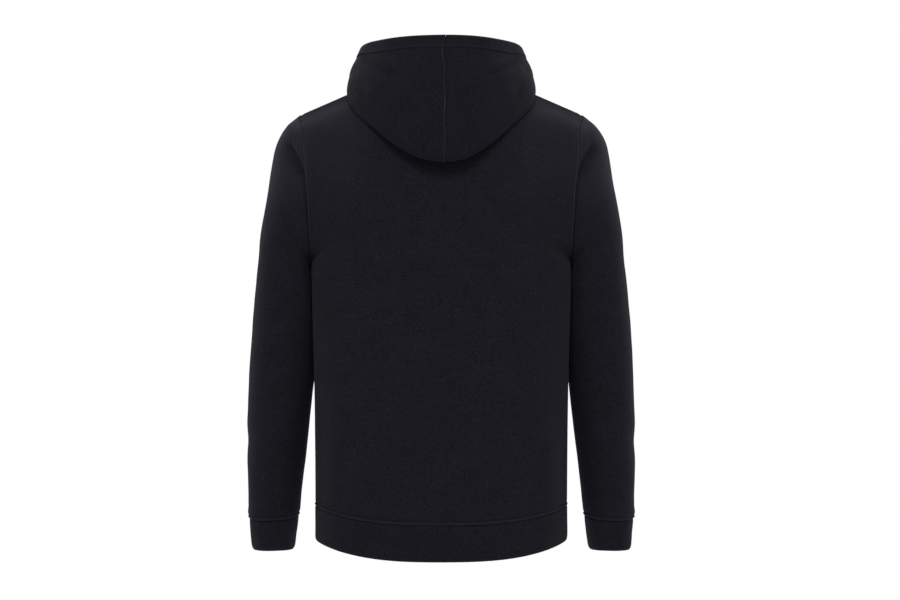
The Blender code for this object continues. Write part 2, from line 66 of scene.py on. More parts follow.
lens = bpy.data.cameras.new("studio_camera")
lens.lens = LENS_MM
lens.sensor_width = SENSOR_MM
camera = bpy.data.objects.new("studio_camera", lens)
camera.location = (CAMERA_X, CAMERA_DISTANCE, CAMERA_Z)
camera.rotation_euler = (HALF_TURN / 2, 0, HALF_TURN)
bpy.context.scene.collection.objects.link(camera)
bpy.context.scene.camera = camera
print("camera", tuple(round(v, 3) for v in camera.location), "lens", LENS_MM, "mm")

# %% [markdown]
# ## Colour
#
# Cloth colours are chosen as sRGB hex values, the way any colour picker shows them. Shaders work in
# linear light, so one function turns the first into the second. One worn colour serves every knit here, and
# the same colour paints the highlights.

# %% Colour helper
def linear(hex_colour, alpha=1.0):
    """An sRGB hex colour such as "1b1a20" in linear light."""
    part = np.array([int(hex_colour[i : i + 2], 16) for i in (0, 2, 4)]) / 255
    light = np.where(part <= 0.04045, part / 12.92, ((part + 0.055) / 1.055) ** 2.4)
    return (*light.tolist(), alpha)


WORN_AND_LIT_CLOTH = linear("3a3944")  # where rubbing has taken the dye off, and painted highlight where the light falls
print("worn cloth in linear light:", [round(part, 4) for part in WORN_AND_LIT_CLOTH])

# %% [markdown]
# ## Nodes
#
# A material is a tree of nodes. By hand, each node takes a line to make it, one for each setting and one
# for each link. One function does all of these, so that every node below is a single call with its own
# settings beside it.

# %% Node helper
def add(tree, kind, settings=None, **links):
    """Adds a node, with its settings, and links or values for its inputs by name."""
    node = tree.nodes.new(kind)
    for name, value in (settings or {}).items():
        setattr(node, name, value)
    for name, value in links.items():
        key = int(name[1:]) if name[1:].isdigit() else name.replace("_", " ")
        socket = node.inputs[key]
        if isinstance(value, bpy.types.NodeSocket):
            tree.links.new(value, socket)
        else:
            socket.default_value = value
    return node


print("node helper:", add.__doc__)

# %% [markdown]
# ## Sweatshirt fleece
#
# The real cloth is a cotton knit: smooth V stitches in upright wales on the face, loops on the back.
# Washing raises a short nap. That gives the eye three things: a matt face with hardly a highlight, a fine
# speckle where fibres catch the light, and a soft glow at grazing angles where the nap stands on edge.
#
# The speckle could be an image, but a noise at the fibres' own size never repeats and works from any side.
# The stitches are a wave along the wales, bent into a V by a second one, and only bump. They follow a map
# made with the shell, in metres, so the wales run up each piece as they were cut.

# %% Fleece
WALE_MM = 1.5  # between wales. The real pitch is 0.9 mm, too fine to show at this distance
COURSE_MM = 1.3  # between rows of stitches, drawn coarser to match
NAP_MM = 0.9  # clumps of raised fibre
SPECKLE_MM = 2.1
MOTTLE_MM = 30.0  # patches where the wash took more or less dye
YARN_MM, YARN_RUN_MM = 2.4, 55.0  # a thicker yarn darkens a row of stitches for a few centimetres
WAVE_BASE = 2 * np.pi / 20  # a wave texture of scale 1 repeats over this length
FLEECE_IOR = 1.53  # cotton
MAP = "wales"


def per_mm(size):
    """The scale that makes a noise texture's features about this many millimetres across."""
    return 1 / (size * MM)


def dyed_yarn(tree, place, run, dark, light):
    """The colour of the cloth: a speckle, blotches of dye and darker rows, and lighter with wear and painted
    highlight.
    """
    speckle = add(tree, "ShaderNodeTexNoise", Vector=place, Scale=per_mm(SPECKLE_MM), Detail=3.0,
                  Roughness=0.7)
    mottle = add(tree, "ShaderNodeTexNoise", Vector=place, Scale=per_mm(MOTTLE_MM), Detail=2.0)
    streaks = add(tree, "ShaderNodeVectorMath", {"operation": "MULTIPLY"}, _0=run,
                  _1=(per_mm(YARN_RUN_MM), per_mm(YARN_MM), 1.0))
    yarn = add(tree, "ShaderNodeTexNoise", Vector=streaks.outputs[0], Scale=1.0, Detail=1.0)
    patchy = add(tree, "ShaderNodeMath", {"operation": "MULTIPLY_ADD"}, _0=mottle.outputs["Fac"], _1=0.14,
                 _2=speckle.outputs["Fac"])
    both = add(tree, "ShaderNodeMath", {"operation": "MULTIPLY_ADD"}, _0=yarn.outputs["Fac"], _1=0.16,
               _2=patchy.outputs[0])
    share = add(tree, "ShaderNodeMapRange", Value=both.outputs[0], From_Min=0.42, From_Max=0.88)
    dyed = add(tree, "ShaderNodeMix", {"data_type": "RGBA"}, Factor=share.outputs[0], _6=dark, _7=light)
    # the lighter colour stands for rubbing on ridges and folds, and for painted highlight on ridges,
    # shoulders and sleeves
    wear_and_highlight = add(tree, "ShaderNodeAttribute", {"attribute_name": "wear_and_highlight"})
    mixed = add(tree, "ShaderNodeMix", {"data_type": "RGBA"}, Factor=wear_and_highlight.outputs["Fac"],
                _6=dyed.outputs[2], _7=WORN_AND_LIT_CLOTH)
    return mixed.outputs[2]


def stitches_and_nap(tree, place, run, nap, stitch):
    """Bump: rows of V stitches, with clumps of raised fibre on top of them."""
    split = add(tree, "ShaderNodeSeparateXYZ", Vector=run)
    bent = add(tree, "ShaderNodeMath", {"operation": "PINGPONG"}, _0=split.outputs[0], _1=WALE_MM * MM / 2)
    leg = add(tree, "ShaderNodeMath", {"operation": "MULTIPLY_ADD"}, _0=bent.outputs[0], _1=1.3,
              _2=split.outputs[1])
    leaning = add(tree, "ShaderNodeCombineXYZ", X=split.outputs[0], Y=leg.outputs[0])
    wale = add(tree, "ShaderNodeTexWave", {"bands_direction": "X"}, Vector=run,
               Scale=WAVE_BASE / (WALE_MM * MM))
    course = add(tree, "ShaderNodeTexWave", {"bands_direction": "Y"}, Vector=leaning.outputs[0],
                 Scale=WAVE_BASE / (COURSE_MM * MM))
    loops = add(tree, "ShaderNodeMath", {"operation": "MULTIPLY"}, _0=wale.outputs["Fac"],
                _1=course.outputs["Fac"])
    fibres = add(tree, "ShaderNodeTexNoise", Vector=place, Scale=per_mm(NAP_MM), Detail=3.0, Roughness=0.65)
    knit = add(tree, "ShaderNodeBump", Height=loops.outputs[0], Distance=stitch * MM, Strength=0.7)
    raised = add(tree, "ShaderNodeBump", Height=fibres.outputs["Fac"], Distance=nap * MM, Strength=0.8,
                 Normal=knit.outputs[0])
    return raised.outputs[0]


def knit_cloth(name, dark, light, nap, stitch):
    """A cotton knit. Nap and stitch say how far the fibre clumps and the stitches stand out, in mm."""
    made = bpy.data.materials.new(name)
    made.use_nodes = True
    tree = made.node_tree
    shader = tree.nodes["Principled BSDF"]
    place = add(tree, "ShaderNodeTexCoord").outputs["Object"]
    run = add(tree, "ShaderNodeUVMap", {"uv_map": MAP}).outputs[0]
    tree.links.new(dyed_yarn(tree, place, run, linear(dark), linear(light)), shader.inputs["Base Color"])
    tree.links.new(stitches_and_nap(tree, place, run, nap, stitch), shader.inputs["Normal"])
    shader.inputs["Roughness"].default_value = 0.95
    shader.inputs["IOR"].default_value = FLEECE_IOR
    shader.inputs["Specular IOR Level"].default_value = 0.10
    shader.inputs["Sheen Weight"].default_value = 0.045
    shader.inputs["Sheen Roughness"].default_value = 0.45
    shader.inputs["Sheen Tint"].default_value = linear("c9c6dc")
    return made


# The face of the cloth: blue-black and matt, with a low nap over its stitches.
fleece_face = knit_cloth("fleece_face", "0f0e13", "26252e", 0.30, 0.22)
# The same cloth on the hood, drawn a little darker than the body: painted shade, as the hood gets less
# light.
shaded_hood_face = knit_cloth("fleece_face_hood_painted_shade", "0c0b11", "23222b", 0.30, 0.22)
# The loop side: much rougher, and seen only through the neck, the hem and the cuffs.
fleece_loops = knit_cloth("fleece_loopback", "121117", "24232b", 0.75, 0.45)
# The bands: a firmer knit, whose stitches stand out more and whose nap stands out less.
band_knit = knit_cloth("band_knit", "0f0e13", "25242d", 0.28, 0.34)
print("cloth finishes:", [finish.name for finish in (fleece_face, shaded_hood_face, fleece_loops, band_knit)])

# %% [markdown]
# ## Sewing thread
#
# Polyester thread, spun to look like cotton and dyed to match, drawn a little darker than the cloth as a
# painted shade along the groove it lies in. It is a little smoother than the nap, and its stitches sink
# into the cloth, so a row of them reads as a fine dark line. Its two plies twist round each other, which a
# fine noise is enough to suggest.

# %% Thread
PLY_MM = 0.5  # the size of the thread's own unevenness


def sewing_thread():
    """Spun polyester: two plies, matt but smoother than the cloth."""
    made = bpy.data.materials.new("polyester_thread")
    made.use_nodes = True
    tree = made.node_tree
    shader = tree.nodes["Principled BSDF"]
    place = add(tree, "ShaderNodeTexCoord").outputs["Object"]
    ply = add(tree, "ShaderNodeTexNoise", Vector=place, Scale=per_mm(PLY_MM), Detail=2.0)
    # darker than the cloth: painted shade along the stitch groove
    dyed = add(tree, "ShaderNodeMix", {"data_type": "RGBA"}, Factor=ply.outputs["Fac"],
               _6=linear("0d0c11"), _7=linear("1d1c23"))
    tree.links.new(dyed.outputs[2], shader.inputs["Base Color"])
    twist = add(tree, "ShaderNodeBump", Height=ply.outputs["Fac"], Distance=0.1 * MM, Strength=0.6)
    tree.links.new(twist.outputs[0], shader.inputs["Normal"])
    shader.inputs["Roughness"].default_value = 0.6
    shader.inputs["IOR"].default_value = 1.57  # polyester
    shader.inputs["Specular IOR Level"].default_value = 0.3
    return made


thread = sewing_thread()
print("thread finish:", thread.name)

# %% [markdown]
# ## The pattern's sizes
#
# These are the sizes that the solids were made from, in millimetres, with the hem's edge moved by up to 2
# mm. So each panel's shell lies on its solid. A torso ring is a superellipse: an ellipse with its corners
# pushed out, as cloth hangs round a body. Above the underarm the panels have no rings, so rows of five
# places each are bent smoothly from one armhole to the other.

# %% Torso sizes
def table(columns, *rows):
    """The rows as one array for each named column."""
    return dict(zip(columns.split(), np.array(rows, float).T))


TORSO = table(
    "z half_width back front side_y squareness back_drop front_drop",
    (-686.9, 188.2, 106, 118, 10, 2.45, 23.8, 10),  # hem edge
    (-635.5, 187.8, 109, 120, 10, 2.5, 21.5, 9),  # hem seam
    (-560, 188.2, 112, 124, 11, 2.5, 10.0, 5),  # hip
    (-450, 189.6, 105, 126, 12, 2.5, 2.0, 1),  # waist
    (-360, 192.2, 104, 130, 12, 2.5, 0.0, 0),  # ribs
    (-275, 194.0, 108, 132, 12, 2.4, 0.0, 0),  # chest, at the underarm
)
HEM_EDGE, HEM_SEAM, UNDERARM = TORSO["z"][0], TORSO["z"][1], TORSO["z"][-1]
BACK_ROWS = table(
    "arm_x arm_y arm_z neck_x neck_y neck_z mid_y mid_z",
    (192.6, 44, -260, 108, 112, -243, 122, -240),
    (193.8, 67, -224, 106, 114, -200, 123, -196),
    (196.6, 74, -172, 102, 111, -148, 120, -146),
    (202.0, 67, -120, 97, 98, -92, 110, -95),
    (205.0, 42, -77, 96, 60, -43, 92, -53),
)
FRONT_ROWS = table(
    "arm_x arm_y arm_z neck_x neck_y neck_z mid_y mid_z",
    (191.8, -22, -262, 108, -112, -243, -124, -247),
    (193.0, -47, -226, 107, -115, -205, -124, -217),
    (196.0, -57, -172, 104, -110, -157, -119, -184),
    (201.5, -52, -120, 99, -93, -104, -110, -152),
    (205.0, -34, -77, 96, -62, -47, -99, -126),
)
FRONT_ROLL = 0.5  # how much rounder than a flat slope the front is, next to the shoulder seam
BACK_ROLL = -1.0
ROLL_SHARE = 0.35  # how far down towards the first tabled row it is roundest
SHOULDER_POINT = np.array((213.0, 5.0, -54.5))  # where shoulder seam and armhole meet
NECK_POINT = np.array((88.0, 5.0, 0.0))  # where shoulder seam and neckline meet
NECK_BACK = np.array((0.0, 68.0, -14.0))
NECK_FRONT = np.array((0.0, -80.0, -92.0))
BACK_DIP, FRONT_DIP = 1.0, 1.5  # above 1, the neckline stays high for longer before it dips
NECK_SHARE = 6 / 13  # the neckline's share of a half panel's columns
ROLL_OUT, ROLL_UP = 0.5, 0.87  # the way out of the cloth next to the shoulder seam
HEM_SAG_POWER = 2.85  # above 2, the hem stays low for longer before it rises to the side seam
SEAM_SHARPNESS = 6  # the higher, the nearer to the edge the corner between side seam and armhole keeps
BACK, FRONT = 1, -1
print("hem", round(4 * TORSO["half_width"][0]), "mm round at most; underarm at", UNDERARM, "mm")

# %% [markdown]
# ## Curves through a few places
#
# A natural cubic spline is the curve that a thin springy strip takes when it is pinned at a few places. It
# is what a pattern cutter's flexible ruler does, and it needs no more points than the table has.

# %% Curve helpers
def spline(knots, values, at):
    """A natural cubic spline through the values at the knots, read at the places given."""
    knots = np.asarray(knots, float)
    values = np.asarray(values, float)
    count = len(knots)
    flat = values.reshape(count, -1)
    step = np.diff(knots)
    system = np.eye(count)
    right = np.zeros_like(flat)
    for i in range(1, count - 1):
        system[i, i - 1 : i + 2] = step[i - 1], 2 * (step[i - 1] + step[i]), step[i]
        right[i] = 6 * ((flat[i + 1] - flat[i]) / step[i] - (flat[i] - flat[i - 1]) / step[i - 1])
    bend = np.linalg.solve(system, right)
    at = np.asarray(at, float)
    i = np.clip(np.searchsorted(knots, at, side="right") - 1, 0, count - 2)
    wide = step[i][..., None]
    past = (at - knots[i])[..., None]
    left = wide - past
    read = (bend[i] * left**3 + bend[i + 1] * past**3) / (6 * wide)
    read += (flat[i] / wide - bend[i] * wide / 6) * left
    read += (flat[i + 1] / wide - bend[i + 1] * wide / 6) * past
    return read.reshape(at.shape + values.shape[1:])


def along(line, shares):
    """Points at these shares of a polyline's length."""
    run = np.concatenate([[0], np.cumsum(np.linalg.norm(np.diff(line, axis=0), axis=1))])
    places = np.asarray(shares) * run[-1]
    return np.stack([np.interp(places, run, line[:, k]) for k in range(line.shape[1])], axis=-1)


def steps(*stretches):
    """Places along a piece: each stretch is (from, to, how many steps), one following on from another."""
    parts = [np.linspace(start, end, count + 1) for start, end, count in stretches]
    return np.concatenate([parts[0]] + [part[1:] for part in parts[1:]])


CURVE_SAMPLES = 481  # places on a curve from which evenly spaced ones are chosen
print("a springy strip pinned at 0, 1 and 0 is", spline([0, 1, 2], [0, 1, 0], 0.5).round(3), "high half way")

# %% [markdown]
# ## Torso panels
#
# Each panel is a net of points: columns run from the wearer's right to the left, rows run up. A plain net
# would have even steps. Seams need more: a ridge of seam allowance is 5 mm wide, so the rows and columns
# close up next to a seam, to under a millimetre, and open out to 4 or 5 mm between seams. A subdivision
# surface could round a coarse net, but it would draw the cloth away from the sizes in the tables.

# %% Rows and columns
NECK_COLUMNS = 26  # from the middle to the end of the neckline
LOWER = steps((0, 0.026, 12), (0.026, 1, 84))  # hem seam to underarm
UPPER = steps((1, 1.96, 84), (1.96, 2, 10))  # underarm to shoulder seam
heights = np.concatenate([LOWER, UPPER[1:]])
half = steps((0, NECK_SHARE, NECK_COLUMNS), (NECK_SHARE, 0.955, 26), (0.955, 0.985, 5), (0.985, 1, 8))
columns = np.concatenate([-half[:0:-1], half])
print(len(heights), "rows,", len(columns), "columns")

# %% [markdown]
# ## From hem to underarm
#
# Here the torso is a stack of rings. A panel's row is the back or the front half of a ring, with its points
# spread evenly along it, and it sags in the middle as the hem does.

# %% Lower rows
def torso_row(face, columns, z):
    """One row below the underarm: part of a superellipse, with its points spread evenly along it."""
    size = {name: spline(TORSO["z"], TORSO[name], z) for name in TORSO}
    side = "back" if face == BACK else "front"
    depth, drop = size[side], size[f"{side}_drop"]
    turn = np.linspace(0, np.pi / 2, CURVE_SAMPLES)
    power = 2 / size["squareness"]
    dense_x, dense_y = size["half_width"] * np.sin(turn) ** power, depth * np.cos(turn) ** power
    dense = np.stack([dense_x, dense_y], axis=1)
    x, y = along(dense, np.abs(columns)).T
    sag = drop * (1 - (x / size["half_width"]) ** HEM_SAG_POWER)
    return np.stack([np.sign(columns) * x, size["side_y"] + face * y, z - sag], axis=1)


lowest = torso_row(BACK, columns, HEM_SEAM)
print("hem seam: it sags by", round(np.ptp(lowest[:, 2])), "mm in the middle of the back")

# %% [markdown]
# ## From underarm to shoulder
#
# Above the underarm the sleeve takes the sides away, so a row is bent through five tabled places. The last
# row is the neckline with a shoulder seam on each side of it. A spline up each column then joins all the
# rows. Along the edge, where side seam and armhole meet in a corner, it is parted in two, so that the
# corner stays sharp.

# %% Torso net
def upper_row(face, columns, row):
    """One of the tabled rows above the underarm, bent smoothly through its five tabled places."""
    places = np.array([-1, -NECK_SHARE, 0, NECK_SHARE, 1])
    arm = np.array([row["arm_x"], row["arm_y"], row["arm_z"]])
    neck = np.array([row["neck_x"], row["neck_y"], row["neck_z"]])
    mid = np.array([0.0, row["mid_y"], row["mid_z"]])
    flip = np.array([-1, 1, 1])
    return spline(places, np.array([arm * flip, neck * flip, mid, neck, arm]), columns)


def top_row(face, columns):
    """The shoulder seams, and between them the neckline."""
    middle = NECK_BACK if face == BACK else NECK_FRONT
    size = np.abs(columns)
    turn = np.clip(size / NECK_SHARE, 0, 1) * np.pi / 2
    dip = np.cos(turn) ** (BACK_DIP if face == BACK else FRONT_DIP)
    x = NECK_POINT[0] * np.sin(turn)
    y = NECK_POINT[1] + (middle[1] - NECK_POINT[1]) * np.cos(turn)
    z = NECK_POINT[2] + (middle[2] - NECK_POINT[2]) * dip
    neckline = np.stack([x, y, z], axis=1)
    share = np.clip((size - NECK_SHARE) / (1 - NECK_SHARE), 0, 1)[:, None]
    seam = NECK_POINT + (SHOULDER_POINT - NECK_POINT) * share
    points = np.where(size[:, None] <= NECK_SHARE, neckline, seam)
    points[:, 0] *= np.sign(columns)
    return points


def torso_rows(face, columns, heights):
    """Rows of points at these heights: 0 at the hem seam, 1 at the underarm, 2 at the shoulder seam."""
    rows = BACK_ROWS if face == BACK else FRONT_ROWS
    count = len(rows["mid_y"]) + 1
    lower_z = [z for z in TORSO["z"] if z >= HEM_SEAM]
    lower = [torso_row(face, columns, z) for z in lower_z]
    upper = [upper_row(face, columns, {name: rows[name][i] for name in rows}) for i in range(count - 1)]
    top = top_row(face, columns)
    amount = (BACK_ROLL if face == BACK else FRONT_ROLL) * np.sin(np.pi * np.abs(columns))
    rounder = amount[:, None] * np.array([0, face * ROLL_OUT, ROLL_UP])
    upper.append(top * (1 - ROLL_SHARE) + upper[-1] * ROLL_SHARE + rounder)
    stack = np.array(lower + upper + [top])
    lower_knots = (np.array(lower_z) - HEM_SEAM) / (UNDERARM - HEM_SEAM)
    edge = np.array([stack[len(lower) - 1 + i, -1] for i in range(count + 2)])
    run = np.concatenate([[0], np.cumsum(np.linalg.norm(np.diff(edge, axis=0), axis=1))])
    knots = np.concatenate([lower_knots, 1 + run[1:] / run[-1]])
    whole = spline(knots, stack, heights)
    first = len(lower) - 1
    below = spline(knots[: first + 1], stack[: first + 1], np.minimum(heights, 1))
    above = spline(knots[first:], stack[first:], np.maximum(heights, 1))
    parted = np.where(np.asarray(heights)[:, None, None] <= 1, below, above)
    sharp = (np.abs(columns) ** SEAM_SHARPNESS)[None, :, None]
    return whole * (1 - sharp) + parted * sharp


back_net = torso_rows(BACK, columns, heights)
front_net = torso_rows(FRONT, columns, heights)
print("torso nets:", back_net.shape[:2], "points each")

# %% [markdown]
# ## Distances and directions on the cloth
#
# Every seam ridge and crease needs to know how far it is from an edge, along the cloth, and which way is
# out. Blender can work out normals too, but only once a mesh is made, and here they are needed before.

# %% Cloth measures
def headings(net, axis, closed):
    """At each point, the mean of the unit steps before and after it, and half the change between them."""
    net = np.moveaxis(net, axis, 0)
    step = np.roll(net, -1, axis=0) - net if closed else np.diff(net, axis=0)
    step /= np.linalg.norm(step, axis=-1, keepdims=True)
    before = np.roll(step, 1, axis=0) if closed else np.concatenate([step[:1], step])
    after = step if closed else np.concatenate([step, step[-1:]])
    return np.moveaxis((before + after) / 2, 0, axis), np.moveaxis((after - before) / 2, 0, axis)


def outward(net, inside, closed=False):
    """Unit directions out of the cloth. Inside is 1 where the net's own normals point into the garment."""
    across, _ = headings(net, 1, closed)
    down, _ = headings(net, 0, False)
    found = np.cross(across, down)
    return -inside * found / np.linalg.norm(found, axis=2, keepdims=True)


def run_along(net, axis):
    """How far along the cloth each point is from the first one of its row (axis 1) or column (axis 0)."""
    step = np.linalg.norm(np.diff(net, axis=axis), axis=-1)
    start = np.zeros_like(np.take(step, [0], axis=axis))
    return np.concatenate([start, np.cumsum(step, axis=axis)], axis=axis)


def from_end(run, axis):
    """The same distances, measured from the other end of each row or column."""
    return np.take(run, [-1], axis=axis) - run


tall = run_along(back_net, 0)[-1].max()
print("back:", round(tall), "mm at most from hem seam to shoulder seam, along the cloth")

# %% [markdown]
# ## Creases and soft waves
#
# A crease is a trough or a roll of cloth between two places. Real ones bow a little, fade towards both
# ends, and push up a lip on one side where the cloth has nowhere else to go. Below them the cloth is never
# quite flat, so a slow noise moves it by less than a millimetre or two.

# %% Crease helper
LIP_AT, LIP_WIDTH = 1.7, 0.8  # where a crease's lip is and how wide, in widths of the crease
END_FADE = 0.45  # how much shallower a crease is at its ends


def creased(net, out, creases):
    """How far each point moves out for the tabled creases. They are seen from one side: the back (0), the
    front (1) or the wearer's left (2), and their places are x and z there, or y and z from the left."""
    views = np.array([(0.0, 1.0, 0.0), (0.0, -1.0, 0.0), (1.0, 0.0, 0.0)])
    moved = np.zeros(net.shape[:2])
    for row in zip(*creases.values()):
        crease = dict(zip(creases, row))
        side = int(crease["side"])
        plane = [1, 2] if side == 2 else [0, 2]
        seen = np.clip(out @ views[side], 0, 1)
        start = np.array([crease["from_a"], crease["from_z"]])
        run = np.array([crease["to_a"], crease["to_z"]]) - start
        length = np.linalg.norm(run)
        sideways = np.array([run[1], -run[0]]) / length
        place = net[..., plane] - start
        share = np.clip(place @ run / length**2, 0, 1)
        bow = crease["bow"] * 4 * share * (1 - share)
        across = place @ sideways - bow
        off_line = (place @ sideways)[..., None] * sideways
        past = np.linalg.norm(place - share[..., None] * run - off_line, axis=-1)
        width = crease["width"]
        body = np.exp(-((across / width) ** 2))
        lip = crease["lip"] * np.exp(-(((across - LIP_AT * width) / (LIP_WIDTH * width)) ** 2))
        fade = np.exp(-((past / width) ** 2)) * (1 - END_FADE * (2 * share - 1) ** 4)
        moved += (crease["depth"] * body - crease["depth"] * lip) * fade * seen
    return moved


def soft_waves(net, size, height, seed):
    """A slow unevenness of the cloth, with waves about this size and height in millimetres."""
    flat = (net.reshape(-1, 3) / size + seed * 7.31).tolist()
    found = np.array([noise.noise(Vector(p)) + 0.4 * noise.noise(Vector(p) * 2.3) for p in flat])
    return found.reshape(net.shape[:2]) * height


coarse = soft_waves(back_net[::20, ::20], 85, 0.7, 1)
print("waves on the back: from", round(coarse.min(), 2), "to", round(coarse.max(), 2), "mm")

# %% [markdown]
# ## Seams
#
# Two pieces are sewn with their edges turned in. From outside that reads as a narrow valley where they
# meet. The turned edges lie under one of the pieces and lift it in a strip about 5 mm wide, and a row of
# stitches at the far side of the strip pulls the cloth down again. The thread is tighter than the cloth, so
# the strip puckers.

# %% Seam helpers
VALLEY_DEPTH, VALLEY_REACH = 1.0, 1.3
STRIP_WIDTH, STRIP_LIFT = 5.0, 0.75
GROOVE_DEPTH, GROOVE_REACH = 1.5, 1.3
SHOULDER_HIGHLIGHT, HEAD_HIGHLIGHT = 0.10, 0.16  # painted highlight where the top light falls, on the shoulders and on the sleeve heads


def rise(distance, start, over):
    """0 before start, 1 after start + over, and a smooth step between."""
    share = np.clip((distance - start) / over, 0, 1)
    return share * share * (3 - 2 * share)


def valley(distance, depth=VALLEY_DEPTH):
    """The narrow dip where two pieces meet, at distance 0."""
    return -depth * np.exp(-((distance / VALLEY_REACH) ** 2))


def strip(distance):
    """The lifted strip of seam allowance, and the stitch groove at its far side."""
    lifted = STRIP_LIFT * rise(distance, 0.2, 1.6) * (1 - rise(distance, STRIP_WIDTH - 0.8, 1.8))
    return lifted - GROOVE_DEPTH * np.exp(-(((distance - STRIP_WIDTH) / GROOVE_REACH) ** 2))


def ridge_top(distance, at, width=0.7):
    """1 along the top of a ridge that stands this far from a seam, and 0 away from it."""
    return np.exp(-(((distance - at) / width) ** 2))


def painted_top_light(net):
    """Painted highlight where the top light falls: most on the heads of the sleeves, less on the shoulders
    by the hood.
    """
    out_from_middle = np.abs(net[..., 0])
    reach = SHOULDER_HIGHLIGHT * rise(out_from_middle, 80, 60) + HEAD_HIGHLIGHT * rise(out_from_middle, 185, 25)
    return reach * rise(net[..., 2], -215, 95)


def puckers(distance, run, height, seed, reach=9.0, spacing=7.0):
    """Small waves that run away from a seam and fade within a few millimetres."""
    waves = np.array([noise.noise(Vector((s / spacing, seed * 3.7, 0.0))) for s in run.ravel()])
    near = np.exp(-((distance / reach) ** 2)) * rise(distance, 0.3, 1.5)
    return waves.reshape(run.shape) * height * near


print("a seam's valley is", VALLEY_DEPTH, "mm deep, and the strip beside it", STRIP_WIDTH, "mm wide")

# %% [markdown]
# ## From a net to a shell
#
# A sheet with no thickness would look like paper at the hem and the hood's edge. So the net is the face of
# the cloth, and a second net behind it is the loop side. Where the cloth is folded at an open edge, both
# sides close in a half round. Each shell also gets a map in metres for its stitches, and a value from 0 to
# 1 for how much lighter the cloth is drawn: where rubbing has worn the dye lighter on top of ridges, and a
# painted highlight on ridges, shoulders and sleeves.

# %% Seam gap
SEAM_GAP = 0.3


def pulled_in(net, closed):
    """The net with its open edges moved in by half of the gap at a seam."""
    moved = net.copy()
    lines = [(0, 1, 0), (-1, -2, 0)] + ([] if closed else [(0, 1, 1), (-1, -2, 1)])
    for edge, inner, axis in lines:
        at, to = (np.take(moved, [k], axis=axis) for k in (edge, inner))
        step = to - at
        length = np.linalg.norm(step, axis=-1, keepdims=True)
        place = (slice(None), [edge]) if axis else ([edge],)
        moved[place] = at + step * np.minimum(SEAM_GAP / 2 / length, 0.5)
    return moved


print("gap at a seam:", SEAM_GAP, "mm")

# %% [markdown]
# ## The faces of a shell
#
# Two nets, one behind the other, make a closed shell once a strip of faces joins them along each open edge.
# Blender's Solidify modifier does this too, but it can't close an edge in a half round. Made here, each
# corner of a face also keeps its place in the net, which the stitch map needs.

# %% Shell faces
def grid_faces(rows, count, closed):
    """The faces of both sides and of the open edges, where each corner lies in the net, and how many faces a
    side has. In a closed net, the last column meets the first again."""
    i, j = np.meshgrid(np.arange(rows - 1), np.arange(count if closed else count - 1), indexing="ij")
    corner = [(i, j), (i + 1, j), (i + 1, j + 1), (i, j + 1)]
    at = [a * count + b % count for a, b in corner]
    outer = np.stack(at, axis=-1).reshape(-1, 4)
    inner = outer[:, ::-1] + rows * count
    faces = [outer, inner]
    corners = np.stack([np.stack([a, b], axis=-1) for a, b in corner], axis=-2).reshape(-1, 4, 2)
    places = [corners, corners[:, ::-1]]
    rim = []
    j = np.arange(count if closed else count - 1)
    for row, flip in ((0, False), (rows - 1, True)):
        pair = [(np.full_like(j, row), j), (np.full_like(j, row), j + 1)]
        rim.append(pair[::-1] if flip else pair)
    if not closed:
        i = np.arange(rows - 1)
        for column, flip in ((0, True), (count - 1, False)):
            pair = [(i, np.full_like(i, column)), (i + 1, np.full_like(i, column))]
            rim.append(pair[::-1] if flip else pair)
    for (a_row, a_column), (b_row, b_column) in rim:
        a, b = a_row * count + a_column % count, b_row * count + b_column % count
        faces.append(np.stack([a, b, b + rows * count, a + rows * count], axis=-1))
        ends = np.stack([np.stack([a_row, a_column], -1), np.stack([b_row, b_column], -1)], axis=-2)
        places.append(ends[:, [0, 1, 1, 0]])
    return np.concatenate(faces), np.concatenate(places), len(outer)


sample, _, one_side = grid_faces(3, 4, False)
print("3 by 4 points give", one_side, "faces a side and", len(sample) - 2 * one_side, "round the edge")

# %% [markdown]
# ## The shell itself
#
# The stitch map runs along the cloth, so its rows and columns are spaced by real distances. All faces of a
# shell have to point out of it. Its volume shows whether they do: where it comes out negative, they are
# turned round.

# %% Shell maker
MAP_CLOSING = 4.0  # the step from the last column of a ring to its first
THINNEST = 0.02  # what is left of a folded edge at its very end, squared


def flip_if_inside_out(mesh):
    """Turns every face round if the closed shell's volume comes out negative."""
    points = np.zeros(len(mesh.vertices) * 3)
    mesh.vertices.foreach_get("co", points)
    points = points.reshape(-1, 3)
    mesh.calc_loop_triangles()
    corner = np.zeros(len(mesh.loop_triangles) * 3, int)
    mesh.loop_triangles.foreach_get("vertices", corner)
    a, b, c = points[corner.reshape(-1, 3)].transpose(1, 0, 2)
    if (a * np.cross(b, c)).sum() < 0:
        mesh.flip_normals()


def placed(name, mesh):
    """An object with this mesh, linked into the scene."""
    piece = bpy.data.objects.new(name, mesh)
    bpy.context.scene.collection.objects.link(piece)
    return piece


def add_stitch_map(mesh, net, places):
    """A map in metres along the cloth, for the knit."""
    wide = np.append(run_along(net, 1).max(axis=0), run_along(net, 1).max() + MAP_CLOSING)
    tall = run_along(net, 0).max(axis=1)
    chart = mesh.uv_layers.new(name=MAP)
    spots = np.stack([wide[places[..., 1]], tall[places[..., 0]]], -1) * MM
    chart.uv.foreach_set("vector", spots.ravel())


